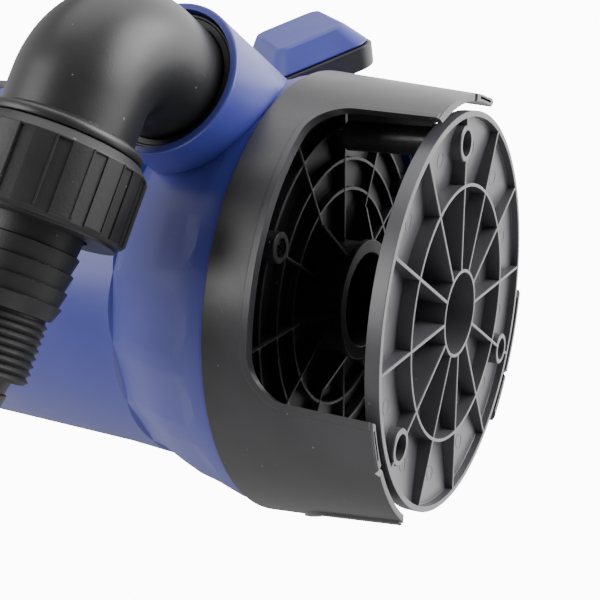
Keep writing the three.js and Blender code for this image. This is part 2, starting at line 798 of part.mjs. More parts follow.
addPiece('stator', ring(statorInner, canInner - partGap, rotorBottom, rotorTop, mediumFacets), steel);
const [windingInner, windingOuter] = windingShares.map((share) => canRadius * share);
const windingPlaces = {
  winding_lower: rotorBottom - partGap - windingHeight,
  winding_upper: rotorTop + partGap,
};
for (const [name, bottom] of Object.entries(windingPlaces)) {
  const top = bottom + windingHeight;
  addPiece(name, ring(windingInner, windingOuter, bottom, top, mediumFacets), copper);
}
const bearingPlaces = { lower_bearing: lowerBearingBottom, upper_bearing: upperBearingBottom };
for (const [name, bottom] of Object.entries(bearingPlaces)) {
  const top = bottom + bearingHeight;
  addPiece(name, ring(bearingBore, bearingOuterRadius, bottom, top, mediumFacets), steel);
}
const capacitor = addPiece('capacitor', disc(capacitorRadius, 0, capacitorLength, smallFacets), black);
capacitor.rotation.set(0, Math.PI / 2, 0);
capacitor.position.set(-capacitorLength / 2, capacitorOffset, canTop + partGap + capacitorRadius);

// Top cover, its seal and screws
const coverRimBottom = housingTop + coverSealThickness + 2 * partGap;
const coverRimRadius = bodyRadius + coverRimOverhang;
const coverTop = coverRimBottom + coverHeight;
const coverCavityTop = coverTop - coverSkin;
const coverCavityRadius = coverRimRadius - coverCrownInset;
const coverScrewHeadSeat = coverRimBottom + coverScrewRise;
let cover = turned([
  [coverCavityRadius, coverRimBottom],
  [coverRimRadius, coverRimBottom],
  ...coverInsets.map((inset, i) => [
    coverRimRadius - inset,
    coverRimBottom + coverHeight * coverRiseShares[i],
  ]),
  [coverCavityRadius, coverTop],
  [0, coverTop],
  [0, coverCavityTop],
  [coverCavityRadius, coverCavityTop],
], wideFacets);
for (const pose of coverPlaces) {
  cover = cover
    .subtract(disc(coverScrew.head + partGap, coverScrewHeadSeat, coverTop, smallFacets, pose))
    .subtract(disc(coverScrew.shank + partGap, coverRimBottom - overrun, coverTop, smallFacets, pose));
}
addPiece('cover_seal', ring(
  motorBoreRadius + partGap,
  bodyRadius - partGap,
  housingTop + partGap,
  coverRimBottom - partGap,
  wideFacets,
), rubber);
coverPlaces.forEach((pose, i) => {
  const screw = addPiece(`cover_screw_${i + 1}`, screwSolid(coverScrew), steel);
  screw.applyMatrix4(pose);
  screw.position.z = coverScrewHeadSeat + partGap;
});

// Carry handle: a bar bent over two feet, with a grip sleeve
const handleBase = coverTop + partGap;
const barMiddle = coverTop + handleHeight - gripWall - handleBarThickness / 2;
const handlePath = new THREE.CurvePath();
const handleSide = handleFootX - handleCornerRadius;
const at = (x, z) => new THREE.Vector3(x, 0, z);
const shoulder = barMiddle - handleCornerRadius;
const legStart = handleBase + overlap;
handlePath.add(new THREE.LineCurve3(at(-handleFootX, legStart), at(-handleFootX, shoulder)));
handlePath.add(new THREE.QuadraticBezierCurve3(
  at(-handleFootX, shoulder),
  at(-handleFootX, barMiddle),
  at(-handleSide, barMiddle),
));
handlePath.add(new THREE.LineCurve3(at(-handleSide, barMiddle), at(handleSide, barMiddle)));
handlePath.add(new THREE.QuadraticBezierCurve3(
  at(handleSide, barMiddle),
  at(handleFootX, barMiddle),
  at(handleFootX, shoulder),
));
handlePath.add(new THREE.LineCurve3(at(handleFootX, shoulder), at(handleFootX, legStart)));
const barCorner = handleBarThickness * barCornerShare;
const barShape = roundedRectangle(handleBarWidth, handleBarThickness, barCorner);
const footSides = [-1, 1];
let handle = joined([
  swept(barShape, handlePath, handleSteps, handleCornerSteps),
  ...footSides.map((side) => slab(
    roundedRectangle(handleFootLength, handleFootWidth, handleFootWidth * footCornerShare),
    handleBase,
    handleBase + handleFootThickness,
    shifted(side * (handleFootX + overrun), 0, 0),
  )),
]);
const footScrewX = handleFootX + overrun + handleFootLength / 2 - footScrew.head - screwSink;
for (const side of footSides) {
  const pose = shifted(side * footScrewX, 0, 0);
  const footTop = handleBase + handleFootThickness;
  const shank = footScrew.shank + partGap;
  const hole = disc(shank, coverCavityTop - overrun, footTop + overrun, smallFacets, pose);
  handle = handle.subtract(hole);
  cover = cover.subtract(hole);
}
addPiece('top_cover', cover, charcoal);
addPiece('carry_handle', handle, charcoal);
footSides.forEach((side, i) => {
  const screw = addPiece(`handle_screw_${i + 1}`, screwSolid(footScrew), steel);
  screw.position.set(side * footScrewX, 0, handleBase + handleFootThickness + partGap);
});
const gripSection = (wall, radius) => roundedRectangle(
  handleBarThickness + 2 * wall,
  handleBarWidth + 2 * wall,
  radius,
);
const gripInner = gripSection(partGap, barCorner);
const gripOuter = gripSection(gripWall, handleBarThickness * gripCornerShare);
const gripPose = shifted(-gripLength / 2, 0, barMiddle).multiply(outward);
const grip = slab(gripOuter, 0, gripLength, gripPose)
  .subtract(slab(gripInner, -overrun, gripLength + overrun, gripPose));
addPiece('handle_grip', grip, rubber);
for (const [name, [x, y]] of Object.entries(glandPlaces)) {
  const nut = disc(glandRadius, 0, glandHeight / 2, 6);
  const stem = turned([
    [0, 0],
    [glandRadius * glandStemShare, 0],
    [glandRadius * glandStemShare, glandHeight * glandStemShare],
    [glandRadius * glandTipShare, glandHeight],
    [0, glandHeight],
  ], smallFacets);
  const mouth = disc(glandMouthRadius, glandHeight / 2, glandHeight + overrun, smallFacets);
  const gland = joined([nut, stem]).subtract(mouth);
  addPiece(name, gland, black).position.set(x, y, coverTop + partGap);
}

// Outlet arm: its corner is the group's origin, the collar lies along +X and the tail along +Z
const outletArm = new THREE.Group();
outletArm.name = 'outlet_arm';
const tailDirection = new THREE.Vector3(-Math.cos(tailRise), 0, Math.sin(tailRise));
const collarDirection = new THREE.Vector3(0, 1, 0);
const armSide = tailDirection.clone().cross(collarDirection);
outletArm.setRotationFromMatrix(new THREE.Matrix4().makeBasis(collarDirection, armSide, tailDirection));
outletArm.position.set(outletX, -(collarLip + elbowReach), outletHeight);
pump.add(outletArm);

// The elbow's centre line: in from the collar, round the bend, out along the tail
class ElbowLine extends THREE.Curve {
  constructor(inletEnd, outletEnd) {
    super();
    this.inletEnd = inletEnd;
    this.outletEnd = outletEnd;
  }

  getPoint(share, target = new THREE.Vector3()) {
    const arc = elbowBendRadius * Math.PI / 2;
    const straightIn = this.inletEnd - elbowBendRadius;
    const straightOut = this.outletEnd - elbowBendRadius;
    const run = share * (straightIn + arc + straightOut);
    if (run < straightIn) return target.set(this.inletEnd - run, 0, 0);
    if (run > straightIn + arc) return target.set(0, 0, elbowBendRadius + run - straightIn - arc);
    const angle = (run - straightIn) / elbowBendRadius;
    return target.set(
      elbowBendRadius * (1 - Math.sin(angle)),
      0,
      elbowBendRadius * (1 - Math.cos(angle)),
    );
  }
}
const circle = (radius) => new THREE.Shape().absarc(0, 0, radius, 0, 2 * Math.PI, false);
const collarFloor = elbowReach + collarBoreDepth - partGap;
const elbowEnd = collarFloor - elbowFlangeThickness / 2;
const flangeStart = collarFloor - elbowFlangeThickness;
const elbowFlangeRadius = collarBoreRadius - swivelClearance;
const elbow = joined([
  swept(
    circle(elbowRadius),
    new ElbowLine(elbowEnd, elbowSpigotEnd - overlap),
    elbowSteps,
    elbowFacets / 2,
  ),
  disc(elbowFlangeRadius, flangeStart, collarFloor, mediumFacets, outward),
  turned([
    [0, beadStart],
    [elbowRadius - overlap, beadStart],
    [beadRadius - beadChamfer, beadStart + beadChamfer],
    [beadRadius, (beadStart + beadEnd) / 2],
    [beadRadius, beadEnd],
    [0, beadEnd],
  ], mediumFacets),
  disc(elbowSpigotRadius, beadEnd - overlap, elbowSpigotEnd, mediumFacets),
])
  .subtract(swept(
    circle(elbowBoreRadius),
    new ElbowLine(collarFloor + overrun, elbowSpigotEnd + overrun),
    elbowSteps,
    elbowFacets / 2,
  ));
addPiece('elbow', elbow, black, outletArm);
const ringStart = elbowReach + ringInset;
addPiece('outlet_ring', ring(
  elbowRadius + partGap,
  collarBoreRadius - partGap,
  ringStart,
  ringStart + ringThickness,
  mediumFacets,
  outward,
), black, outletArm);
addPiece('elbow_seal', ring(
  elbowRadius + partGap,
  elbowFlangeRadius,
  flangeStart - partGap - sealThickness,
  flangeStart - partGap,
  mediumFacets,
  outward,
), rubber, outletArm);

// Union nut with wide flats and narrow grooves
const nutStart = beadEnd + partGap;
const nutWebStart = nutEnd - nutWebThickness;
let nut = turned([
  [elbowSpigotRadius + partGap, nutStart],
  [beadRadius, nutStart],
  [nutRadius, nutShoulderEnd],
  [nutRadius, nutGripEnd],
  [nutEndRadius, nutEnd - nutEndBand],
  [nutEndRadius, nutEnd],
  [tailRadius + partGap, nutEnd],
  [tailRadius + partGap, nutWebStart],
  [elbowSpigotRadius + partGap, nutWebStart],
], mediumFacets);
const grooveWidth = nutGrooveShare * 2 * Math.PI * nutRadius / nutFlatCount;
for (let i = 0; i < nutFlatCount; i += 1) {
  nut = nut.subtract(block(
    [nutRadius - nutGrooveDepth, -grooveWidth / 2, nutShoulderEnd + overrun],
    [nutRadius + overrun, grooveWidth / 2, nutEnd + overrun],
    aboutAxis(i * 2 * Math.PI / nutFlatCount),
  ));
}
addPiece('union_nut', nut, black, outletArm);
const gasketStart = elbowSpigotEnd + partGap;
const tailStart = gasketStart + gasketThickness + partGap;
addPiece('tail_gasket', ring(
  elbowBoreRadius,
  elbowSpigotRadius,
  gasketStart,
  gasketStart + gasketThickness,
  mediumFacets,
), rubber, outletArm);

// Stepped hose tail: wide barbs, a thread, then narrow barbs
const barbs = (tips, tipRadius, valleyRadius) => tips.flatMap(
  (tip) => [[valleyRadius, tip], [tipRadius, tip]],
);
const threadStart = tailTaperEnd + threadRelief;
const threads = Array.from({ length: threadCount }, (_, i) => [
  [threadRoot, threadStart + i * threadPitch],
  [threadCrest, threadStart + (i + threadCrestShare) * threadPitch],
]).flat();
const threadEnd = threadStart + threadCount * threadPitch;
addPiece('hose_tail', turned([
  [tailBoreRadius, tailStart],
  [elbowSpigotRadius, tailStart],
  [elbowSpigotRadius, nutWebStart - partGap],
  [tailRadius, nutWebStart - partGap],
  ...barbs(tailBarbTips, tailRadius, tailBarbValley),
  [tailTaperRadius, tailTaperEnd],
  [threadRoot, tailTaperEnd],
  ...threads,
  [threadRoot, threadEnd],
  [smallTipRadius, threadEnd],
  ...barbs(smallBarbTips, smallTipRadius, smallValleyRadius),
  [tailEndRadius, tailEnd],
  [tailSmallBoreRadius, tailEnd],
  [tailSmallBoreRadius, threadEnd - overrun],
  [tailBoreRadius, threadEnd - overrun],
], mediumFacets), black, outletArm);

// Float switch: its group's +X runs across, +Y along and +Z out of the blue side
const floatSwitch = new THREE.Group();
floatSwitch.name = 'float_switch_group';
floatSwitch.applyMatrix4(floatPose);
pump.add(floatSwitch);
const seam = partGap / 2;
const switchPlace = switchMargin + switchSize[1] / 2 - floatLength / 2;
const cavity = (width, length, height) => shellOutline(
  width - 2 * floatWall,
  length - 2 * floatWall,
  floatCornerRadius - floatWall,
  height,
);
const upperTop = [floatWidth - 2 * floatTopInset, floatLength - 2 * floatTopInset];
const upperShell = loft(
  shellOutline(floatWidth, floatLength, floatCornerRadius, seam),
  shellOutline(...upperTop, floatCornerRadius, floatHalfHeight),
).subtract(loft(
  cavity(floatWidth, floatLength, -overrun),
  cavity(...upperTop, floatHalfHeight - floatWall),
));
addPiece('float_upper', upperShell, blue, floatSwitch);
const lowerSeam = [floatWidth + 2 * floatLowerOversize, floatLength + 2 * floatLowerOversize];
const lowerBottom = lowerSeam.map((size) => size - 2 * floatBottomInset);
const lowerShell = loft(
  shellOutline(...lowerBottom, floatCornerRadius, -floatHalfHeight),
  shellOutline(...lowerSeam, floatCornerRadius, -seam),
).subtract(loft(
  cavity(...lowerBottom, floatWall - floatHalfHeight),
  cavity(...lowerSeam, overrun),
));
const hub = disc(floatHubRadius, -floatHalfHeight - floatHubDepth, overlap - floatHalfHeight, mediumFacets)
  .subtract(disc(pegRadius + shaftClearance, -floatHalfHeight * 2, -floatHalfHeight, mediumFacets));
addPiece('float_lower', lowerShell.add(hub), charcoal, floatSwitch);
const floatFloor = floatWall - floatHalfHeight + partGap;
const ballSolid = solidFrom(new THREE.SphereGeometry(ballRadius, smallFacets, smallFacets / 2));
const ball = addPiece('float_ball', ballSolid, steel, floatSwitch);
ball.position.set(0, switchPlace + switchSize[1] / 2 + partGap + ballRadius, floatFloor + ballRadius);
const [switchWidth, switchLength, switchHeight] = switchSize;
addPiece('float_switch', block(
  [-switchWidth / 2, switchPlace - switchLength / 2, floatFloor],
  [switchWidth / 2, switchPlace + switchLength / 2, floatFloor + switchHeight],
), black, floatSwitch);

// Stand the pump on z = 0 with the middle of its footprint at the origin
pump.updateMatrixWorld(true);
const footprint = new THREE.Box3().setFromObject(pump, true);
const middle = footprint.getCenter(new THREE.Vector3());
pump.position.set(-middle.x, -middle.y, -footprint.min.z);

export default pump;
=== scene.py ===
"""A submersible pump with a ribbed strainer base, an outlet elbow with a stepped
hose tail, and a float switch. Metres; the pump stands on z = 0, its outlet faces -Y."""
import math

import bpy
from mathutils import Matrix, Vector


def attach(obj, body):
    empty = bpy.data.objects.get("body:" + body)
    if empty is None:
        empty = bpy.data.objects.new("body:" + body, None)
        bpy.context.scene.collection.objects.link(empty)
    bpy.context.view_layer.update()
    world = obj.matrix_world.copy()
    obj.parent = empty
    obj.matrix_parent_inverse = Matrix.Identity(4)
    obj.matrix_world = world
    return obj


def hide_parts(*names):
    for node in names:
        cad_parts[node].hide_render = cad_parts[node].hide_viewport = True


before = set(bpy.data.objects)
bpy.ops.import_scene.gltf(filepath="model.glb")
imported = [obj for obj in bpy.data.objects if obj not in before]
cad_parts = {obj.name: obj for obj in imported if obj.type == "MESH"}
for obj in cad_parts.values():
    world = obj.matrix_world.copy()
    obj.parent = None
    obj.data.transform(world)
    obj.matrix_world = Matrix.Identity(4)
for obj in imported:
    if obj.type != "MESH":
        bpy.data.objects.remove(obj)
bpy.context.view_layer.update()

# ---- sizes
MM = 0.001
GAP = 0.3 * MM
OVERLAP = 1 * MM
REACH = 4 * MM
SINK = 0.04 * MM
EDGE = 0.35 * MM
MERGE = 0.001 * MM
WELD = 0.01 * MM
WIDE_FACETS = 144
MEDIUM_FACETS = 96
SMALL_FACETS = 40
HEXAGON = 6
CORNER_STEPS = 3
ROUND_STEPS = 3
SMOOTH_ANGLE = math.radians(32)
BEVEL_ANGLE = math.radians(40)
STRAIGHT_ENOUGH = math.radians(25)
CORNER_SHARE = 0.45
QUARTER = math.radians(90)

AXIS_X = -31.4968 * MM
AXIS_Y = 38.45 * MM

# Base plate
PLATE_RADIUS = 80 * MM
PLATE_LIP = 2.4 * MM
PLATE_WALL = 5.5 * MM
PLATE_SKIN = 2.2 * MM
FLOOR_AT_LIP = 3.2 * MM
FLOOR_AT_MIDDLE = 6 * MM
FLOOR_AT_CENTRE = 12 * MM
CUP_RECESS_RADIUS = 12.5 * MM
CUP_RECESS = 0.7 * MM
MIDDLE_RING_RADIUS = 51.3 * MM
CENTRE_RING_RADIUS = 17.2 * MM
RIB = 1.4 * MM
RIB_COUNT = 12
FIRST_LEG = math.radians(-30)
LEG_ANGLES = [FIRST_LEG + i * math.radians(120) for i in range(3)]
WINDOW_ANGLES = [angle - math.radians(60) for angle in LEG_ANGLES]
SCREW_CIRCLE = 68 * MM
BOSS_RADIUS = 7 * MM
BOSS_TOP = 13 * MM
BOSS_HOLE_RADIUS = 5 * MM
BOSS_HOLE_DEPTH = 8 * MM
PLATE_SHANK = 2.2 * MM
PIN_MARK_RADIUS = 3.1 * MM
PIN_MARK_WIDTH = 0.35 * MM
PIN_MARK_RAISE = 0.12 * MM
PIN_MARK_CIRCLE = 66 * MM
PIN_MARK_EDGE = 0.05 * MM
RING_TOP_SHARE = 0.75

# Intake skirt
SKIRT_FOOT_RADIUS = 86.4 * MM
SKIRT_TOP_RADIUS = 93 * MM
SKIRT_HEIGHT = 62.8 * MM
SKIRT_WALL = 3 * MM
SKIRT_EDGE = 0.7 * MM
WINDOW_HALF_WIDTH = 54.7 * MM
WINDOW_TOP = 44.6 * MM
WINDOW_CORNER = 13.9 * MM
WINDOW_CORNER_STEPS = 12
WINDOW_CUT_START = 62 * MM
WINDOW_CUT_END = 100 * MM
BEAD_WIDTH = 2.6 * MM
BEAD_RAISE = 0.9 * MM
BEAD_EDGE = 0.55 * MM
POST_RADIUS = 6 * MM
POST_TOP = 50 * MM
WEB = 3 * MM
NOTCH_SIZE = 2.2 * MM
NOTCH_OFFSET = math.radians(5.5)
SLIT_OFFSET = math.radians(13.5)
SLIT_LENGTH = 13 * MM
SLIT_WIDTH = 0.9 * MM
SLIT_DEPTH = 3 * MM

# Suction plate
SUCTION_RADIUS = 85 * MM
SUCTION_FACE = 55.5 * MM
SUCTION_TOP = 58 * MM
SUCTION_RIB_BOTTOM = 51.3 * MM
SUCTION_RINGS = (45.6 * MM, 58 * MM, 71.3 * MM)
NECK_RADIUS = 24 * MM
NECK_BORE = 19.8 * MM
NECK_BOTTOM = 41 * MM
NECK_RIM_HEIGHT = 3 * MM
NECK_RIM_OVERHANG = 1.2 * MM
SUCTION_EDGE = 0.5 * MM
GUSSET_REACH = 16 * MM
GUSSET_COUNT = 6
SUCTION_BOSS_RADIUS = 5.8 * MM
SUCTION_BOSS_BOTTOM = 47 * MM
SUCTION_SCREW_CIRCLE = 71.5 * MM
SUCTION_HEAD = 3.7 * MM
SUCTION_SHANK = 2.2 * MM
SUCTION_SCREW_SEAT = 50.6 * MM

# Pump housing
RIM_BOTTOM = 63.1 * MM
RIM_HEIGHT = 1.6 * MM
RIM_RADIUS = 91.6 * MM
FLARE = [
    (radius * MM, height * MM)
    for radius, height in ((90.8, 70.2), (89, 77.7), (87.3, 87.3), (84.1, 97.2), (80.2, 107.3))
]
BODY_RADIUS = 79 * MM
BODY_TAPER_TOP = 136 * MM
BODY_TOP = 235.4 * MM
HOUSING_FLOOR = 58.3 * MM
SPIGOT_OUTER = 88.3 * MM
SPIGOT_INNER = 85.3 * MM
SPIGOT_BOTTOM = 52 * MM
CHAMBER_RADIUS = 70 * MM
CHAMBER_TOP = 106 * MM
MOTOR_BORE = 75.5 * MM
MOTOR_FLOOR = 112 * MM
SEAL_SEAT = 15 * MM
COVER_POST_RADIUS = 5.5 * MM
COVER_POST_BOTTOM = 205 * MM
COVER_SCREW_CIRCLE = 71.5 * MM
COVER_SHANK = 2.3 * MM

# Outlet collar, elbow, union nut and hose tail
OUTLET_X = 50.4 * MM
OUTLET_Z = 94.3 * MM
COLLAR_LIP = 101.8 * MM
COLLAR_LIP_RADIUS = 29.8 * MM
COLLAR_ROOT = 26 * MM
COLLAR_ROOT_RADIUS = 31.7 * MM
COLLAR_BORE = 27.1 * MM
COLLAR_BORE_DEPTH = 19.8 * MM
THROAT_RADIUS = 16 * MM
THROAT_Z = 88 * MM
THROAT_END = 40 * MM
ELBOW_REACH = 37.6 * MM
ELBOW_RADIUS = 22.7 * MM
ELBOW_BORE = 18.5 * MM
ELBOW_BEND = 24.5 * MM
ELBOW_STEPS = 28
TAIL_RISE = math.radians(5.6)
FLANGE_RADIUS = 26.6 * MM
FLANGE = 4.4 * MM
BEAD_START = 36.4 * MM
BEAD_END = 41 * MM
BEAD_RADIUS = 27 * MM
ELBOW_SPIGOT_RADIUS = 25 * MM
ELBOW_SPIGOT_END = 54 * MM
RING_INSET = 2.3 * MM
RING_THICKNESS = 4.5 * MM
RING_LOOSE = 0.5 * MM
RING_LIP = 1.1 * MM
RING_LIP_RAISE = 0.7 * MM
NUT_RADIUS = 30.3 * MM
NUT_SHOULDER = 44.8 * MM
NUT_GRIP_END = 67.8 * MM
NUT_END = 70.2 * MM
NUT_END_RADIUS = 28.3 * MM
NUT_WEB = 62.5 * MM
NUT_FLATS = 16
NUT_GROOVE_DEPTH = 0.65 * MM
NUT_GROOVE_WIDTH = 4.6 * MM
NUT_RIDGE_WIDTH = 0.7 * MM
NUT_RIDGE_RAISE = 0.3 * MM
GASKET_THICKNESS = 2 * MM
TAIL_RADIUS = 18.4 * MM
TAIL_VALLEY = 17.2 * MM
TAIL_TIPS = (76 * MM, 81.8 * MM, 87.6 * MM, 93 * MM)
TAPER_END = 98.1 * MM
TAPER_RADIUS = 16.5 * MM
THREAD_COUNT = 8
THREAD_PITCH = 2.6 * MM
THREAD_CREST = 16.1 * MM
THREAD_ROOT = 14.9 * MM
THREAD_SHAPE = ((0.36, 1), (0.46, 0), (0.54, 0), (0.64, 1))
SMALL_TIP = 11.3 * MM
SMALL_VALLEY = 10.4 * MM
SMALL_TIPS = (124.4 * MM, 130.2 * MM, 136 * MM)
TAIL_END = 142 * MM
TAIL_END_RADIUS = 9.8 * MM
TAIL_BORE = 12.5 * MM
TAIL_SMALL_BORE = 7.6 * MM

# Top cover, handle and glands
COVER_RIM_RADIUS = 82 * MM
COVER_RIM = 238 * MM
COVER_TOP = 264 * MM
COVER_SKIN = 6 * MM
COVER_CAVITY = 63 * MM
COVER_PROFILE = [
    (radius * MM, height * MM)
    for radius, height in (
        (82.3, 241), (82, 245), (80.5, 251), (77.6, 256.2), (73, 260.5), (68, 263), (63, 264)
    )
]
COVER_SEAT = 252 * MM
COVER_HEAD = 4.3 * MM
HANDLE_FOOT_X = 46 * MM
HANDLE_FOOT_SHIFT = 2 * MM
HANDLE_FOOT = (30 * MM, 26 * MM, 5 * MM)
HANDLE_MIDDLE = 308.5 * MM
HANDLE_CORNER = 20 * MM
HANDLE_WIDTH = 22 * MM
HANDLE_THICKNESS = 13 * MM
HANDLE_EDGE = 4.3 * MM
GRIP_LENGTH = 50 * MM
GRIP_WALL = 3 * MM
GRIP_RIB_COUNT = 9
GRIP_GROOVE = 1.4 * MM
GRIP_GROOVE_DEPTH = 0.8 * MM
GLAND_RADIUS = 9.5 * MM
GLAND_HEIGHT = 20 * MM
GLAND_MOUTH = 4 * MM
GLAND_STEM_SHARE = 0.8
GLAND_TIP_SHARE = 0.6
GLAND_Y = 44 * MM
GLAND_X = 15 * MM

# Float switch and its holder
FLOAT_CENTRE = Vector((124.996 * MM, 27.002 * MM, 115 * MM))
FLOAT_LONG = Vector((0.45, 0.625, 0.638))
FLOAT_OUT = Vector((0.664, -0.71, 0.228)).normalized()
FLOAT_WIDTH = 50 * MM
FLOAT_LENGTH = 80 * MM
FLOAT_HALF = 11 * MM
FLOAT_TOP_INSET = 8 * MM
FLOAT_BOTTOM_INSET = 2 * MM
FLOAT_OVERSIZE = 1 * MM
FLOAT_CORNER = 9 * MM
FLOAT_WALL = 2 * MM
HUB_RADIUS = 9 * MM
HUB_DEPTH = 6 * MM
PEG_RADIUS = 5 * MM
PEG_CLEARANCE = 0.08 * MM
HOLDER_DISC = 8.5 * MM
HOLDER_DISC_EDGE = 0.5 * MM
HOLDER_TRIM_BOTTOM = 50 * MM
ARM_WIDTH = 12 * MM
ARM_HEIGHT = 14 * MM
PAD_WIDTH = 26 * MM
PAD_HEIGHT = 44 * MM
PAD_THICKNESS = 5 * MM
PAD_RAISE = 16 * MM
HOLDER_SCREW_SPREAD = 14 * MM
HOLDER_SCREW_SINK = 2 * MM

# Screws: shank, head, head height and length
PLATE_SCREW = (2.2 * MM, 4.2 * MM, 3 * MM, 26 * MM)
SUCTION_SCREW = (1.9 * MM, 3.4 * MM, 2.6 * MM, 22 * MM)
COVER_SCREW = (2 * MM, 4 * MM, 3 * MM, 38 * MM)
FOOT_SCREW = (2 * MM, 4 * MM, 2.6 * MM, 11 * MM)
HOLDER_SCREW = (2 * MM, 4 * MM, 2.6 * MM, 5.2 * MM)
SCREW_DOME = 0.8 * MM
RECESS_LENGTH_SHARE = 0.55
RECESS_WIDTH = 1 * MM
RECESS_DEPTH = 1.2 * MM

# Small forms: flat panels of the flare, rounded edges, steps and grooves
PANEL_COUNT = 18
PANEL_DEPTH = 0.6 * MM
PANEL_FADE = 112 * MM
PANEL_END = 117 * MM
PANEL_TURN = math.radians(6)
COLLAR_LIP_EDGE = 1.2 * MM
COLLAR_LIP_STEPS = 5
PAD_EDGE = 1.2 * MM
COVER_STEP_RADIUS = 60 * MM
COVER_STEP = 1.2 * MM
COVER_CENTRE = 30 * MM
BEND_STEPS = 14
FOOT_EDGE = 1 * MM
BEAD_SLOPE = 1.5 * MM
BEAD_ROUND = 1.6 * MM
BEAD_STEPS = 6
NUT_BAND = 1 * MM
NUT_GROOVE_INSET = 0.5 * MM
THREAD_RELIEF = 1 * MM
BARB_EDGE = 0.25 * MM
FLOAT_EDGE = 1.6 * MM
FLOAT_EDGE_STEPS = 4
FLOAT_LOWER_EDGE = 1.2 * MM
FLOAT_STEP = 0.5 * MM
FLOAT_STEP_Y = 6 * MM
FLOAT_STEP_TURN = math.radians(-24)

# ---- shaping tools


def clear():
    bpy.ops.object.select_all(action="DESELECT")


def take(*pieces):
    clear()
    for piece in pieces:
        piece.select_set(True)
    bpy.context.view_layer.objects.active = pieces[0]


def settle(piece):
    """The piece's place and turn go into its mesh."""
    take(piece)
    bpy.ops.object.transform_apply(location=True, rotation=True, scale=True)
    return piece


def open_mesh(piece):
    """Edit mode, with all of the piece selected."""
    take(piece)
    bpy.ops.object.mode_set(mode="EDIT")
    bpy.ops.mesh.select_all(action="SELECT")


def close_mesh():
    bpy.ops.mesh.select_mode(type="VERT")
    bpy.ops.object.mode_set(mode="OBJECT")


def applied(piece, modifier):
    take(piece)
    bpy.ops.object.modifier_apply(modifier=modifier.name)
    return piece


def outward(piece):
    open_mesh(piece)
    bpy.ops.mesh.remove_doubles(threshold=MERGE)
    bpy.ops.mesh.normals_make_consistent(inside=False)
    close_mesh()
    return piece


def eased(outline, radius, closed=True, steps=CORNER_STEPS):
    """An outline with its sharp corners rounded."""
    points = [Vector(point) for point in outline]
    result = []
    for i, point in enumerate(points):
        before, after = points[i - 1], points[(i + 1) % len(points)]
        if not closed and i in (0, len(points) - 1):
            result.append(point)
            continue
        into, out = before - point, after - point
        turn = math.pi - into.angle(out)
        if turn < STRAIGHT_ENOUGH:
            result.append(point)
            continue
        start = point + into.normalized() * min(radius, into.length * CORNER_SHARE)
        end = point + out.normalized() * min(radius, out.length * CORNER_SHARE)
        for step in range(steps + 1):
            share = step / steps
            result.append(start * (1 - share) ** 2 + point * 2 * share * (1 - share) + end * share**2)
    return [tuple(point) for point in result]


def closed_up(piece):
    """The open ends of a drawn piece filled."""
    bpy.ops.mesh.select_all(action="SELECT")
    bpy.ops.mesh.remove_doubles(threshold=MERGE)
    bpy.ops.mesh.select_all(action="SELECT")
    bpy.ops.mesh.fill_holes(sides=0)
    close_mesh()
    return outward(piece)


def turned(outline, facets=WIDE_FACETS, capped=False):
    """A body of revolution about Z: a circle drawn out along its outline."""
    clear()
    radius, height = outline[0]
    bpy.ops.mesh.primitive_circle_add(vertices=facets, radius=radius, location=(0, 0, height))
    piece = settle(bpy.context.object)
    open_mesh(piece)
    stops = list(outline[1:]) + ([] if capped else [outline[0]])
    for next_radius, next_height in stops:
        bpy.ops.mesh.extrude_region_move(TRANSFORM_OT_translate={"value": (0, 0, next_height - height)})
        share = next_radius / radius
        bpy.ops.transform.resize(value=(share, share, 1), center_override=(0, 0, 0))
        radius, height = next_radius, next_height
    if capped:
        return closed_up(piece)
    close_mesh()
    return outward(piece)


def rod(radius, bottom, top, facets=SMALL_FACETS, edge=0.0):
    outline = [(radius, bottom), (radius, top)]
    if edge:
        sides = [(radius, bottom + edge), (radius, top - edge)]
        outline = [(radius - edge, bottom), *sides, (radius - edge, top)]
    return turned(outline, facets, capped=True)


def bar(low, high, edge=0.0, steps=2):
    """A straight bar between two corners, its edges rounded."""
    clear()
    middle = [(a + b) / 2 for a, b in zip(low, high)]
    bpy.ops.mesh.primitive_cube_add(size=1, location=middle)
    piece = bpy.context.object
    piece.scale = [b - a for a, b in zip(low, high)]
    settle(piece)
    if edge:
        open_mesh(piece)
        bpy.ops.mesh.bevel(offset=edge, segments=steps, affect="EDGES")
        close_mesh()
    return piece


def pick_edges(piece, wanted):
    """Select the edges whose two ends are as wanted."""
    take(piece)
    bpy.ops.object.mode_set(mode="EDIT")
    bpy.ops.mesh.select_mode(type="EDGE")
    bpy.ops.mesh.select_all(action="DESELECT")
    bpy.ops.object.mode_set(mode="OBJECT")
    points = piece.data.vertices
    for edge in piece.data.edges:
        edge.select = wanted(points[edge.vertices[0]].co, points[edge.vertices[1]].co)
    bpy.ops.object.mode_set(mode="EDIT")


def slab(width, length, corner, bottom, top, steps=8):
    """A flat slab with rounded corners seen from above."""
    piece = bar((-width / 2, -length / 2, bottom), (width / 2, length / 2, top))
    pick_edges(piece, lambda a, b: abs(a.z - b.z) > (top - bottom) / 2)
    bpy.ops.mesh.bevel(offset=corner, segments=steps, affect="EDGES")
    close_mesh()
    return piece


def placed(piece, matrix):
    piece.data.transform(matrix)
    piece.data.update()
    return piece


def shifted(piece, x, y=0, z=0):
    return placed(piece, Matrix.Translation((x, y, z)))


def swung(piece, angle):
    return placed(piece, Matrix.Rotation(angle, 4, "Z"))


def copied(piece):
    twin = piece.copy()
    twin.data = piece.data.copy()
    bpy.context.collection.objects.link(twin)
    return twin


def around(piece, angles):
    """Copies of the piece, turned about the pump's axis to each angle, as one."""
    twins = [swung(copied(piece), angle) for angle in angles]
    bpy.data.objects.remove(piece)
    return gathered(twins)


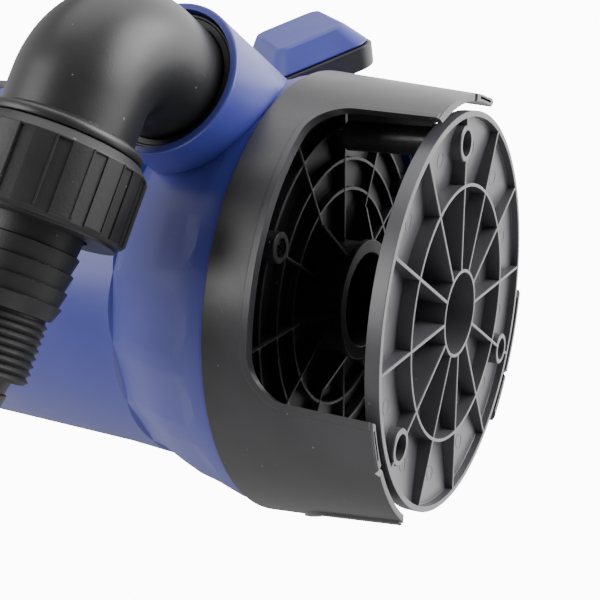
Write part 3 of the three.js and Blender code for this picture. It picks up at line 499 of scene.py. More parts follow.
def rods(radius, bottom, top, circle, angles, edge=0.0):
    """Upright rods on a circle about the pump's axis, one at each angle."""
    return around(shifted(rod(radius, bottom, top, edge=edge), circle), angles)


def gathered(pieces):
    take(*pieces)
    if len(pieces) > 1:
        bpy.ops.object.join()
    return bpy.context.view_layer.objects.active


def worked(target, tool, operation):
    modifier = target.modifiers.new("work", "BOOLEAN")
    modifier.operation = operation
    modifier.solver = "EXACT"
    modifier.object = tool
    applied(target, modifier)
    bpy.data.objects.remove(tool)
    return target


def added(target, *tools):
    for tool in tools:
        worked(target, tool, "UNION")
    return target


def cut(target, *tools):
    for tool in tools:
        worked(target, tool, "DIFFERENCE")
    return target


def kept(target, tool):
    return worked(target, tool, "INTERSECT")


def softened(piece, width, steps=2):
    """The piece's sharp edges rounded."""
    modifier = piece.modifiers.new("edges", "BEVEL")
    modifier.width = width
    modifier.segments = steps
    modifier.limit_method = "ANGLE"
    modifier.angle_limit = BEVEL_ANGLE
    return applied(piece, modifier)


def drawn(start, moves):
    """A bar or pipe drawn from its first outline along straight runs and bends."""
    open_mesh(start)
    bpy.ops.mesh.delete(type="ONLY_FACE")
    bpy.ops.mesh.select_all(action="SELECT")
    for kind, *values in moves:
        if kind == "run":
            bpy.ops.mesh.extrude_region_move(TRANSFORM_OT_translate={"value": values[0]})
        elif kind == "size":
            bpy.ops.transform.resize(value=values[0], center_override=values[1])
        else:
            centre, axis, angle, steps = values
            bpy.ops.mesh.spin(steps=steps, angle=angle, center=centre, axis=axis)
    return closed_up(start)


def round_cornered(width, length, corner, steps=6):
    """A flat outline with rounded corners."""
    clear()
    bpy.ops.mesh.primitive_plane_add(size=1)
    outline = bpy.context.object
    outline.scale = (width, length, 1)
    open_mesh(settle(outline))
    bpy.ops.mesh.bevel(offset=corner, segments=steps, affect="VERTICES")
    close_mesh()
    return outline


FROM_AXIS = Matrix.Translation((AXIS_X, AXIS_Y, 0))
UPSIDE_DOWN = Matrix.Rotation(math.pi, 4, "X")
STAND = Matrix.Rotation(QUARTER, 4, "X")
TIP = Matrix.Rotation(QUARTER, 4, "Y")
TAIL_WAY = Vector((-math.cos(TAIL_RISE), 0, math.sin(TAIL_RISE)))
COLLAR_WAY = Vector((0, 1, 0))
ARM_SIDE = TAIL_WAY.cross(COLLAR_WAY)
FLOAT_ALONG = (FLOAT_LONG - FLOAT_OUT * FLOAT_LONG.dot(FLOAT_OUT)).normalized()


def pose_of(place, *axes):
    return Matrix.Translation(place) @ Matrix(axes).transposed().to_4x4()


ARM = pose_of((OUTLET_X, -(COLLAR_LIP + ELBOW_REACH), OUTLET_Z), COLLAR_WAY, ARM_SIDE, TAIL_WAY)
FLOAT_POSE = pose_of(FLOAT_CENTRE, FLOAT_ALONG.cross(FLOAT_OUT), FLOAT_ALONG, FLOAT_OUT)


def piece_of(shape, name, finish, body, *nodes, pose=None):
    """The finished piece: named, smooth, in its place, riding its body for its solids."""
    if pose is not None:
        placed(shape, pose)
    placed(shape, FROM_AXIS)
    shape.name = name
    shape.data.name = name
    open_mesh(shape)
    bpy.ops.mesh.remove_doubles(threshold=WELD)
    bpy.ops.mesh.dissolve_degenerate(threshold=MERGE)
    close_mesh()
    bpy.ops.object.shade_smooth_by_angle(angle=SMOOTH_ANGLE)
    shading = shape.modifiers.new("even shading", "WEIGHTED_NORMAL")
    shading.keep_sharp = True
    applied(shape, shading)
    shape.data.materials.clear()
    shape.data.materials.append(finish)
    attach(shape, body)
    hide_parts(*nodes)
    return shape


# ---- finishes


def group(name, inputs, outputs):
    tree = bpy.data.node_groups.new(name, "ShaderNodeTree")
    for label, value in inputs:
        socket = tree.interface.new_socket(label, in_out="INPUT", socket_type="NodeSocketFloat")
        socket.default_value = value
    for label in outputs:
        tree.interface.new_socket(label, in_out="OUTPUT", socket_type="NodeSocketFloat")
    return tree, tree.nodes.new("NodeGroupInput"), tree.nodes.new("NodeGroupOutput")


def linked(tree, *pairs):
    for out, into in pairs:
        tree.links.new(out, into)


def given(node, **values):
    """The node with its numbers set; an underscore in a label stands for a space."""
    for label, value in values.items():
        node.inputs[label.replace("_", " ")].default_value = value
    return node


def noise(tree, place, scale, detail, roughness=0.55):
    node = given(tree.nodes.new("ShaderNodeTexNoise"), Scale=scale, Detail=detail, Roughness=roughness)
    tree.links.new(place, node.inputs["Vector"])
    return node


def ramp(tree, value, low, high, end="From"):
    """A value taken from a range to 0 to 1, or from there to a range."""
    node = tree.nodes.new("ShaderNodeMapRange")
    node.inputs[f"{end} Min"].default_value = low
    node.inputs[f"{end} Max"].default_value = high
    tree.links.new(value, node.inputs["Value"])
    return node.outputs["Result"]


def math_node(tree, operation, first, second):
    node = tree.nodes.new("ShaderNodeMath")
    node.operation = operation
    for socket, value in zip(node.inputs, (first, second)):
        if isinstance(value, (int, float)):
            socket.default_value = value
        else:
            tree.links.new(value, socket)
    return node.outputs[0]


GRAIN_SCALE = 1600.0
GRAIN_DEPTH = 0.12 * MM
MOTTLE_SCALE = 45.0
MOTTLE_RANGE = (0.3, 0.7)
FLOW_STRETCH = (900, 900, 60)
FLOW_SHARE = 0.25
SPECK_SCALE = 420
SPECK_SHARE = 0.5
SPECK_LIMIT = 0.82
SPECK_SPREAD = 0.08
GREY_DUST = (0.13, 0.13, 0.135)
BLUE_DUST = (0.14, 0.16, 0.38)
LINE_STRETCH = (90, 90, 2600)
LINE_RANGE = (0.35, 0.65)
LINE_DEPTH = 0.03 * MM
STAIN_SCALE = 120
STAIN_RANGE = (0.35, 0.7)

# Moulded plastic: a fine grain, a slow mottle of shade and a few dust specks
plastic_grain, grain_in, grain_out = group(
    "moulded plastic",
    (("Grain Scale", GRAIN_SCALE), ("Mottle Scale", MOTTLE_SCALE), ("Speck Share", SPECK_SHARE)),
    ("Height", "Mottle", "Specks"),
)
grain_place = plastic_grain.nodes.new("ShaderNodeTexCoord").outputs["Object"]
fine = noise(plastic_grain, grain_place, GRAIN_SCALE, detail=3)
slow = noise(plastic_grain, grain_place, MOTTLE_SCALE, detail=4)
speck = noise(plastic_grain, grain_place, SPECK_SCALE, detail=2, roughness=0.4)
streaks = given(plastic_grain.nodes.new("ShaderNodeMapping"), Scale=FLOW_STRETCH)
linked(plastic_grain, (grain_place, streaks.inputs["Vector"]))
flow = noise(plastic_grain, streaks.outputs["Vector"], scale=1, detail=2)
linked(
    plastic_grain,
    (grain_in.outputs["Grain Scale"], fine.inputs["Scale"]),
    (grain_in.outputs["Mottle Scale"], slow.inputs["Scale"]),
)
flow_height = math_node(plastic_grain, "MULTIPLY", flow.outputs["Fac"], FLOW_SHARE)
height = math_node(plastic_grain, "ADD", fine.outputs["Fac"], flow_height)
mottle = ramp(plastic_grain, slow.outputs["Fac"], *MOTTLE_RANGE)
more_specks = math_node(plastic_grain, "MULTIPLY", grain_in.outputs["Speck Share"], SPECK_SPREAD)
bright = math_node(plastic_grain, "SUBTRACT", SPECK_LIMIT, more_specks)
speck_mask = math_node(plastic_grain, "GREATER_THAN", speck.outputs["Fac"], bright)
linked(
    plastic_grain,
    (height, grain_out.inputs["Height"]),
    (mottle, grain_out.inputs["Mottle"]),
    (speck_mask, grain_out.inputs["Specks"]),
)

# Drawn or turned metal: fine lines round or along the piece, and a slow stain
metal_lines, lines_in, lines_out = group(
    "worked metal",
    (("Line Scale", 1.0),),
    ("Height", "Lines", "Stain"),
)
metal_place = metal_lines.nodes.new("ShaderNodeTexCoord").outputs["Object"]
stretch = given(metal_lines.nodes.new("ShaderNodeMapping"), Scale=LINE_STRETCH)
linked(metal_lines, (metal_place, stretch.inputs["Vector"]))
line_noise = noise(metal_lines, stretch.outputs["Vector"], scale=1, detail=3)
stain_noise = noise(metal_lines, metal_place, STAIN_SCALE, detail=4)
linked(
    metal_lines,
    (lines_in.outputs["Line Scale"], line_noise.inputs["Scale"]),
    (line_noise.outputs["Fac"], lines_out.inputs["Height"]),
    (ramp(metal_lines, line_noise.outputs["Fac"], *LINE_RANGE), lines_out.inputs["Lines"]),
    (ramp(metal_lines, stain_noise.outputs["Fac"], *STAIN_RANGE), lines_out.inputs["Stain"]),
)


def blend_colour(tree, factor, first, second):
    node = tree.nodes.new("ShaderNodeMix")
    node.data_type = "RGBA"
    tree.links.new(factor, node.inputs["Factor"])
    for socket, value in ((node.inputs["A"], first), (node.inputs["B"], second)):
        if isinstance(value, tuple):
            socket.default_value = (*value, 1)
        else:
            tree.links.new(value, socket)
    return node.outputs["Result"]


def bump(tree, height_socket, strength, distance):
    node = given(tree.nodes.new("ShaderNodeBump"), Strength=strength, Distance=distance)
    tree.links.new(height_socket, node.inputs["Height"])
    return node.outputs["Normal"]


def finish_with(name, effect):
    """A new material: itself, its nodes, its shader and the shared effect placed in it."""
    finish = bpy.data.materials.new(name)
    finish.use_nodes = True
    tree = finish.node_tree
    placed_effect = tree.nodes.new("ShaderNodeGroup")
    placed_effect.node_tree = effect
    return finish, tree, tree.nodes["Principled BSDF"], placed_effect


def plastic(name, dark, light, roughness, grain, scale=GRAIN_SCALE, dust=GREY_DUST, specks=SPECK_SHARE,
            shine=0.5):
    finish, tree, shader, worn = finish_with(name, plastic_grain)
    given(worn, Grain_Scale=scale, Mottle_Scale=MOTTLE_SCALE, Speck_Share=specks)
    base = blend_colour(tree, worn.outputs["Mottle"], dark, light)
    colour = blend_colour(tree, worn.outputs["Specks"], base, dust)
    linked(
        tree,
        (colour, shader.inputs["Base Color"]),
        (ramp(tree, worn.outputs["Mottle"], *roughness, "To"), shader.inputs["Roughness"]),
        (bump(tree, worn.outputs["Height"], grain, GRAIN_DEPTH), shader.inputs["Normal"]),
    )
    given(shader, Specular_IOR_Level=shine)
    return finish


def metal(name, dark, light, roughness, depth):
    finish, tree, shader, drawn_lines = finish_with(name, metal_lines)
    given(drawn_lines, Line_Scale=1.0)
    given(shader, Metallic=1.0)
    linked(
        tree,
        (blend_colour(tree, drawn_lines.outputs["Stain"], dark, light), shader.inputs["Base Color"]),
        (ramp(tree, drawn_lines.outputs["Lines"], *roughness, "To"), shader.inputs["Roughness"]),
        (bump(tree, drawn_lines.outputs["Height"], depth, LINE_DEPTH), shader.inputs["Normal"]),
    )
    return finish


blue_shell = plastic("blue shell", (0.034, 0.04, 0.225), (0.042, 0.048, 0.255), (0.33, 0.41), 0.15,
                     specks=0.2, dust=BLUE_DUST)
blue_float = plastic("blue float", (0.038, 0.045, 0.24), (0.045, 0.053, 0.27), (0.4, 0.48), 0.12,
                     specks=0.2, dust=BLUE_DUST)
# The base plate's charcoal is mixed lighter than the skirt's charcoal: painted light standing in for
# the light falling on its floors.
charcoal_base_painted_light = plastic("charcoal base lightened as painted light", (0.048, 0.046, 0.052), (0.058, 0.056, 0.063), (0.34, 0.42),
                        0.2, shine=0.6)
charcoal_skirt = plastic("charcoal skirt", (0.02, 0.0195, 0.022), (0.026, 0.025, 0.028), (0.33, 0.41),
                         0.3, shine=0.6)
black_inside = plastic("black suction plate", (0.006, 0.006, 0.007), (0.01, 0.01, 0.011), (0.48, 0.56),
                       0.25, shine=0.3)
black_satin = plastic("black satin elbow", (0.008, 0.008, 0.009), (0.012, 0.012, 0.013), (0.36, 0.44),
                      0.25)
black_grip = plastic("black nut and tail", (0.006, 0.006, 0.0065), (0.01, 0.01, 0.011), (0.42, 0.52),
                     0.45, scale=900, shine=0.4)
soft_rubber = plastic("soft rubber", (0.008, 0.008, 0.008), (0.016, 0.016, 0.016), (0.7, 0.85),
                      0.5, scale=1200)
screw_steel = metal("screw steel", (0.42, 0.43, 0.44), (0.6, 0.61, 0.62), (0.25, 0.42), 0.3)
motor_steel = metal("motor steel", (0.38, 0.39, 0.4), (0.55, 0.56, 0.57), (0.3, 0.5), 0.3)
coil_copper = metal("coil copper", (0.45, 0.15, 0.06), (0.62, 0.27, 0.12), (0.3, 0.5), 0.8)
# Near-black steel for the screws sunk deep in holes: painted shade standing in for the dark of those
# holes.
dark_screw_steel_painted_shade = metal("screw steel darkened as painted shade", (0.02, 0.02, 0.021), (0.045, 0.045, 0.046), (0.4, 0.55),
                    0.3)
nut_brass = metal("nut brass", (0.5, 0.36, 0.13), (0.66, 0.5, 0.2), (0.25, 0.4), 0.3)

# ---- base plate

lip_inside = PLATE_RADIUS - PLATE_LIP
dish_outline = [
    (CUP_RECESS_RADIUS, FLOOR_AT_CENTRE + CUP_RECESS),
    (CUP_RECESS_RADIUS + CUP_RECESS, FLOOR_AT_CENTRE),
    (CENTRE_RING_RADIUS, FLOOR_AT_CENTRE),
    (MIDDLE_RING_RADIUS, FLOOR_AT_MIDDLE),
    (lip_inside, FLOOR_AT_LIP),
    (lip_inside, 0),
    (PLATE_RADIUS, 0),
    (PLATE_RADIUS, PLATE_WALL),
    (lip_inside, PLATE_WALL),
    (MIDDLE_RING_RADIUS, FLOOR_AT_MIDDLE + PLATE_SKIN),
    (CENTRE_RING_RADIUS, FLOOR_AT_CENTRE + PLATE_SKIN),
    (CUP_RECESS_RADIUS, FLOOR_AT_CENTRE + PLATE_SKIN),
]
dish = turned(eased(dish_outline, EDGE, closed=False), capped=True)
# The space below the middle of the plate's skin, which the ribs are trimmed to
under_floor = [
    (PLATE_RADIUS - PLATE_LIP / 2, 0),
    (PLATE_RADIUS - PLATE_LIP / 2, PLATE_WALL - PLATE_SKIN / 2),
    (MIDDLE_RING_RADIUS, FLOOR_AT_MIDDLE + PLATE_SKIN / 2),
    (CENTRE_RING_RADIUS, FLOOR_AT_CENTRE + PLATE_SKIN / 2),
    (OVERLAP, FLOOR_AT_CENTRE + PLATE_SKIN / 2),
]
rib_angles = [FIRST_LEG + i * math.radians(360 / RIB_COUNT) for i in range(RIB_COUNT)]
rib = bar((CENTRE_RING_RADIUS, -RIB / 2, 2 * SINK), (PLATE_RADIUS, RIB / 2, BOSS_TOP), EDGE)
ribs = kept(around(rib, rib_angles), turned(under_floor, capped=True))


def hoop(radius, width, bottom, top, edge=EDGE, facets=WIDE_FACETS):
    inner, outer = radius - width / 2, radius + width / 2
    return turned(eased([(inner, bottom), (outer, bottom), (outer, top), (inner, top)], edge), facets)


rings = gathered(
    [
        hoop(MIDDLE_RING_RADIUS, RIB, SINK, FLOOR_AT_MIDDLE + PLATE_SKIN * RING_TOP_SHARE),
        hoop(CENTRE_RING_RADIUS, RIB, SINK, FLOOR_AT_CENTRE + PLATE_SKIN * RING_TOP_SHARE),
    ]
)
plate = added(dish, ribs, rings, rods(BOSS_RADIUS, 3 * SINK, BOSS_TOP, SCREW_CIRCLE, LEG_ANGLES, EDGE))
plate = cut(
    plate,
    rods(BOSS_HOLE_RADIUS, -REACH, BOSS_HOLE_DEPTH, SCREW_CIRCLE, LEG_ANGLES),
    rods(PLATE_SHANK + GAP, 0, BOSS_TOP + REACH, SCREW_CIRCLE, LEG_ANGLES),
)
floor_width = lip_inside - MIDDLE_RING_RADIUS
floor_slope = math.atan2(FLOOR_AT_MIDDLE - FLOOR_AT_LIP, floor_width)
mark_share = (PIN_MARK_CIRCLE - MIDDLE_RING_RADIUS) / floor_width
mark_height = FLOOR_AT_MIDDLE + (FLOOR_AT_LIP - FLOOR_AT_MIDDLE) * mark_share
mark = placed(
    hoop(PIN_MARK_RADIUS, PIN_MARK_WIDTH, -PIN_MARK_RAISE, 3 * PIN_MARK_RAISE, PIN_MARK_EDGE,
         SMALL_FACETS),
    Matrix.Translation((PIN_MARK_CIRCLE, 0, mark_height)) @ Matrix.Rotation(floor_slope, 4, "Y"),
)
marks = around(mark, [angle + math.radians(180 / RIB_COUNT) for angle in rib_angles])
# The plate takes the lighter charcoal, painted light for its lit floors.
piece_of(gathered([plate, marks]), "base_plate_moulding", charcoal_base_painted_light, "housing", "base_plate")

# ---- intake skirt


def window_block(margin):
    """The block that a window takes out, or with a margin its raised edge fills."""
    half = WINDOW_HALF_WIDTH + margin
    block = bar((WINDOW_CUT_START, -half, -REACH), (WINDOW_CUT_END, half, WINDOW_TOP + margin))
    pick_edges(block, lambda a, b: min(a.z, b.z) > 0 and abs(a.x - b.x) > REACH)
    bpy.ops.mesh.bevel(offset=WINDOW_CORNER + margin, segments=WINDOW_CORNER_STEPS, affect="EDGES")
    close_mesh()
    return block


skirt_outline = [
    (SKIRT_FOOT_RADIUS - SKIRT_WALL, 0),
    (SKIRT_FOOT_RADIUS, 0),
    (SKIRT_TOP_RADIUS, SKIRT_HEIGHT),
    (SKIRT_TOP_RADIUS - SKIRT_WALL, SKIRT_HEIGHT),
]
skirt = turned(eased(skirt_outline, SKIRT_EDGE))
foot_middle = SKIRT_FOOT_RADIUS - SKIRT_WALL / 2
top_middle = SKIRT_TOP_RADIUS - SKIRT_WALL / 2
bead_space = [
    (foot_middle, SKIRT_EDGE),
    (SKIRT_FOOT_RADIUS + BEAD_RAISE, SKIRT_EDGE),
    (SKIRT_TOP_RADIUS + BEAD_RAISE, SKIRT_HEIGHT),
    (top_middle, SKIRT_HEIGHT),
]
bead = kept(window_block(BEAD_WIDTH), turned(bead_space))
bead = softened(bead, BEAD_EDGE, ROUND_STEPS)
skirt = added(skirt, around(bead, WINDOW_ANGLES))
skirt = cut(skirt, around(window_block(0), WINDOW_ANGLES))
web = bar((SCREW_CIRCLE, -WEB / 2, BOSS_TOP + GAP + SINK),
          (SKIRT_TOP_RADIUS, WEB / 2, POST_TOP - SINK), EDGE)
web = kept(web, turned([(foot_middle, 0), (top_middle, SKIRT_HEIGHT)], capped=True))
posts = rods(POST_RADIUS, BOSS_TOP + GAP, POST_TOP, SCREW_CIRCLE, LEG_ANGLES, EDGE)
skirt = added(skirt, around(web, LEG_ANGLES), posts)
notch = bar((-REACH, -NOTCH_SIZE / 2, -NOTCH_SIZE / 2), (REACH, NOTCH_SIZE / 2, NOTCH_SIZE / 2))
notch = shifted(placed(notch, Matrix.Rotation(QUARTER / 2, 4, "X")), SKIRT_FOOT_RADIUS)
slit = bar((foot_middle - SLIT_WIDTH / 2, -SLIT_LENGTH / 2, -REACH),
           (foot_middle + SLIT_WIDTH / 2, SLIT_LENGTH / 2, SLIT_DEPTH))
skirt = cut(
    skirt,
    rods(PLATE_SHANK + GAP, 0, POST_TOP - REACH, SCREW_CIRCLE, LEG_ANGLES),
    around(notch, [angle + NOTCH_OFFSET for angle in LEG_ANGLES]),
    around(slit, [angle + SLIT_OFFSET for angle in LEG_ANGLES]),
)
piece_of(skirt, "intake_skirt_moulding", charcoal_skirt, "housing", "intake_skirt")

# ---- suction plate

suction_outline = [
    (NECK_BORE, NECK_BOTTOM),
    (NECK_RADIUS + NECK_RIM_OVERHANG, NECK_BOTTOM),
    (NECK_RADIUS + NECK_RIM_OVERHANG, NECK_BOTTOM + NECK_RIM_HEIGHT),
    (NECK_RADIUS, NECK_BOTTOM + NECK_RIM_HEIGHT),
    (NECK_RADIUS, SUCTION_FACE),
    (SUCTION_RADIUS, SUCTION_FACE),
    (SUCTION_RADIUS, SUCTION_TOP),
    (NECK_BORE, SUCTION_TOP),
]
suction = turned(eased(suction_outline, SUCTION_EDGE))
suction_rib = bar((NECK_RADIUS - OVERLAP, -RIB / 2, SUCTION_RIB_BOTTOM),
                  (SUCTION_RADIUS - OVERLAP, RIB / 2, SUCTION_FACE + OVERLAP), EDGE)
suction_hoops = gathered(
    [
        hoop(radius, RIB, SUCTION_RIB_BOTTOM + SINK, SUCTION_FACE + OVERLAP + SINK)
        for radius in SUCTION_RINGS
    ]
)
gusset = bar((NECK_RADIUS - OVERLAP - SINK, -RIB / 2 - SINK, NECK_BOTTOM + NECK_RIM_HEIGHT / 2),
             (NECK_RADIUS + GUSSET_REACH, RIB / 2 + SINK, SUCTION_FACE + OVERLAP - SINK), EDGE)
gusset_trim = bar((-REACH, -REACH, -2 * GUSSET_REACH), (3 * GUSSET_REACH, REACH, 0))
gusset_slope = math.atan2(SUCTION_RIB_BOTTOM - NECK_BOTTOM - NECK_RIM_HEIGHT, GUSSET_REACH)
placed(
    gusset_trim,
    Matrix.Translation((NECK_RADIUS + NECK_RIM_OVERHANG, 0, NECK_BOTTOM + NECK_RIM_HEIGHT))
    @ Matrix.Rotation(-gusset_slope, 4, "Y"),
)
gusset = cut(gusset, gusset_trim)
suction_screws = (SUCTION_SCREW_CIRCLE, WINDOW_ANGLES)
suction = added(
    suction,
    around(suction_rib, rib_angles),
    suction_hoops,
    around(gusset, [math.radians(360 / GUSSET_COUNT * i) for i in range(GUSSET_COUNT)]),
    rods(SUCTION_BOSS_RADIUS, SUCTION_BOSS_BOTTOM, SUCTION_TOP - OVERLAP, *suction_screws, EDGE),
)
suction = cut(
    suction,
    rods(SUCTION_HEAD, 0, SUCTION_SCREW_SEAT, *suction_screws),
    rods(SUCTION_SHANK, 0, SUCTION_TOP + REACH, *suction_screws),
)
piece_of(suction, "suction_plate_moulding", black_inside, "housing", "suction_plate")

# ---- screws


def cross_screw(shank, head, head_height, length, pose):
    """A pan-headed screw with a cross recess; its head sits on height zero."""
    screw = turned(
        [
            (shank - EDGE, -length),
            (shank, EDGE - length),
            (shank, 0),
            (head, 0),
            (head, head_height - SCREW_DOME),
            (head - SCREW_DOME / 2, head_height - SCREW_DOME / 4),
            (head - 2 * SCREW_DOME, head_height),
        ],
        SMALL_FACETS,
        capped=True,
    )
    recess = bar(
        (-head * RECESS_LENGTH_SHARE, -RECESS_WIDTH / 2, head_height - RECESS_DEPTH),
        (head * RECESS_LENGTH_SHARE, RECESS_WIDTH / 2, head_height + REACH),
    )
    second = swung(copied(recess), QUARTER)
    return placed(cut(screw, recess, second), pose)


def at(radius, angle, height):
    return Matrix.Rotation(angle, 4, "Z") @ Matrix.Translation((radius, 0, height))


def screws(name, size, finish, poses):
    for i, pose in enumerate(poses):
        node = f"{name}_{i + 1}"
        piece_of(cross_screw(*size, pose), f"{node}_steel", finish, "housing", node)


# The base and suction screws sit in holes and get the near-black steel, painted shade for those holes.
plate_seat = BOSS_HOLE_DEPTH - GAP
screws("base_screw", PLATE_SCREW, dark_screw_steel_painted_shade,
       [at(SCREW_CIRCLE, angle, plate_seat) @ UPSIDE_DOWN for angle in LEG_ANGLES])
suction_seat = SUCTION_SCREW_SEAT - GAP
screws("suction_screw", SUCTION_SCREW, dark_screw_steel_painted_shade,
       [at(SUCTION_SCREW_CIRCLE, angle, suction_seat) @ UPSIDE_DOWN for angle in WINDOW_ANGLES])
cover_angles = [math.radians(45) + QUARTER * i for i in range(4)]
screws("cover_screw", COVER_SCREW, screw_steel,
       [at(COVER_SCREW_CIRCLE, angle, COVER_SEAT + GAP) for angle in cover_angles])

# ---- pump housing

body_outline = [
    (SPIGOT_INNER, SPIGOT_BOTTOM),
    (SPIGOT_OUTER, SPIGOT_BOTTOM),
    (SPIGOT_OUTER, RIM_BOTTOM),
    (RIM_RADIUS, RIM_BOTTOM),
    (RIM_RADIUS, RIM_BOTTOM + RIM_HEIGHT),
    *FLARE,
    (BODY_RADIUS, BODY_TAPER_TOP),
    (BODY_RADIUS, BODY_TOP),
]
body = turned([(SPIGOT_INNER, HOUSING_FLOOR), *eased(body_outline, EDGE, closed=False)], capped=True)
panel_outline = [
    (RIM_RADIUS + REACH, SPIGOT_BOTTOM - REACH),
    (RIM_RADIUS + REACH, RIM_BOTTOM + RIM_HEIGHT),
    FLARE[0],
    *((radius - PANEL_DEPTH, height) for radius, height in FLARE[1:]),
    (BODY_RADIUS - PANEL_DEPTH / 2, PANEL_FADE),
    (BODY_RADIUS + REACH, PANEL_END),
    (BODY_RADIUS + REACH, BODY_TOP + REACH),
]
corner_share = math.cos(math.pi / PANEL_COUNT)
panels = turned(
    [(radius / corner_share, height) for radius, height in panel_outline], PANEL_COUNT, capped=True
)
body = kept(body, swung(panels, PANEL_TURN))
OUTLET, THROAT = (Matrix.Translation((OUTLET_X, 0, height)) @ STAND for height in (OUTLET_Z, THROAT_Z))
lip_outline = eased(
    [
        (COLLAR_LIP_RADIUS, COLLAR_LIP - REACH),
        (COLLAR_LIP_RADIUS, COLLAR_LIP),
        (THROAT_RADIUS, COLLAR_LIP),
    ],
    COLLAR_LIP_EDGE,
    closed=False,
    steps=COLLAR_LIP_STEPS,
)
collar = turned([(COLLAR_ROOT_RADIUS, COLLAR_ROOT), *lip_outline], MEDIUM_FACETS, capped=True)
body = added(body, placed(collar, OUTLET))
body = cut(
    body,
    rod(CHAMBER_RADIUS, HOUSING_FLOOR - OVERLAP, CHAMBER_TOP, WIDE_FACETS),
    rod(SEAL_SEAT, CHAMBER_TOP - OVERLAP, MOTOR_FLOOR + OVERLAP, MEDIUM_FACETS),
    rod(MOTOR_BORE, MOTOR_FLOOR, BODY_TOP + REACH, WIDE_FACETS),
    placed(rod(COLLAR_BORE, COLLAR_LIP - COLLAR_BORE_DEPTH, COLLAR_LIP + REACH, MEDIUM_FACETS), OUTLET),
    placed(rod(THROAT_RADIUS, THROAT_END, COLLAR_LIP, MEDIUM_FACETS), THROAT),
)
cover_screws = (COVER_SCREW_CIRCLE, cover_angles)
body = added(body, rods(COVER_POST_RADIUS, COVER_POST_BOTTOM, BODY_TOP - EDGE, *cover_screws))
body = cut(
    body,
    rods(COVER_SHANK, COVER_POST_BOTTOM + OVERLAP, BODY_TOP + REACH, *cover_screws),
    rods(SUCTION_SHANK, SPIGOT_BOTTOM, HOUSING_FLOOR + SUCTION_SCREW[3], *suction_screws),
)
hub_face = FLOAT_HALF + HUB_DEPTH + GAP
arm_end = FLOAT_POSE @ Vector((0, 0, -(hub_face + HOLDER_DISC)))
arm_length = math.hypot(arm_end.x, arm_end.y)
HOLDER = at(0, math.atan2(arm_end.y, arm_end.x), arm_end.z)
holder_seat = BODY_RADIUS + PAD_THICKNESS - HOLDER_SCREW_SINK
holder_screw_poses = [
    HOLDER @ Matrix.Translation((holder_seat, 0, PAD_RAISE + height)) @ TIP
    for height in (-HOLDER_SCREW_SPREAD, HOLDER_SCREW_SPREAD)
]


def holder_shank(pose):
    return placed(rod(HOLDER_SCREW[0] + GAP, -HOLDER_SCREW[3] - GAP, OVERLAP), pose)


for pose in holder_screw_poses:
    body = cut(body, holder_shank(pose))
piece_of(body, "pump_housing_shell", blue_shell, "housing", "pump_housing")

# ---- float holder

pad = bar(
    (BODY_RADIUS - OVERLAP, -PAD_WIDTH / 2, PAD_RAISE - PAD_HEIGHT / 2),
    (BODY_RADIUS + PAD_THICKNESS, PAD_WIDTH / 2, PAD_RAISE + PAD_HEIGHT / 2),
    PAD_EDGE,
    ROUND_STEPS,
)
arm = bar(
    (BODY_RADIUS - 2 * OVERLAP, -ARM_WIDTH / 2, -ARM_HEIGHT / 2),
    (arm_length, ARM_WIDTH / 2, ARM_HEIGHT / 2),
    PAD_EDGE,
    ROUND_STEPS,
)
disc = placed(rod(HUB_RADIUS, -(hub_face + HOLDER_DISC), -hub_face, edge=HOLDER_DISC_EDGE), FLOAT_POSE)
peg = placed(
    rod(PEG_RADIUS, -(hub_face + OVERLAP), -(FLOAT_HALF + 2 * GAP), MEDIUM_FACETS, EDGE), FLOAT_POSE
)
holder = added(placed(pad, HOLDER), placed(arm, HOLDER), disc, peg)
shell_space = [
    (BODY_RADIUS, HOLDER_TRIM_BOTTOM), *FLARE, (BODY_RADIUS, BODY_TAPER_TOP), (BODY_RADIUS, BODY_TOP)
]
holder = cut(holder, turned([(radius + GAP, height) for radius, height in shell_space], capped=True))
for pose in holder_screw_poses:
    head_space = placed(rod(HOLDER_SCREW[1] + GAP, -GAP, HOLDER_SCREW[2] + REACH), pose)
    holder = cut(holder, holder_shank(pose), head_space)
piece_of(holder, "float_holder_bracket", charcoal_skirt, "housing", "float_holder")
screws("holder_screw", HOLDER_SCREW, screw_steel, holder_screw_poses)

# ---- top cover, handle and glands

cover = turned(
    [
        (COVER_CAVITY, COVER_RIM),
        *eased([(COVER_RIM_RADIUS, COVER_RIM), COVER_PROFILE[0]], EDGE, closed=False),
        *COVER_PROFILE[1:],
        (COVER_STEP_RADIUS + COVER_STEP, COVER_TOP),
        (COVER_STEP_RADIUS, COVER_TOP - COVER_STEP),
        (COVER_CENTRE, COVER_TOP - COVER_STEP),
        (COVER_CENTRE, COVER_TOP - COVER_SKIN),
        (COVER_CAVITY - OVERLAP, COVER_TOP - COVER_SKIN),
    ]
)
cover_middle = rod(COVER_CENTRE + OVERLAP, COVER_TOP - COVER_SKIN, COVER_TOP - COVER_STEP, WIDE_FACETS)
foot_x = HANDLE_FOOT_X + HANDLE_FOOT_SHIFT
foot_screw_x = foot_x + HANDLE_FOOT[0] / 2 - FOOT_SCREW[1] - OVERLAP
foot_cuts = rods(
    FOOT_SCREW[0] + GAP,
    COVER_TOP - COVER_SKIN - REACH,
    COVER_TOP + HANDLE_FOOT[2] + REACH,
    foot_screw_x,
    (0, math.pi),
)
cover = cut(
    added(cover, cover_middle),
    rods(COVER_HEAD, COVER_SEAT, COVER_TOP + REACH, *cover_screws),
    rods(COVER_SHANK, COVER_RIM - REACH, COVER_TOP, *cover_screws),
    copied(foot_cuts),
)
piece_of(cover, "top_cover_cap", charcoal_skirt, "housing", "top_cover")

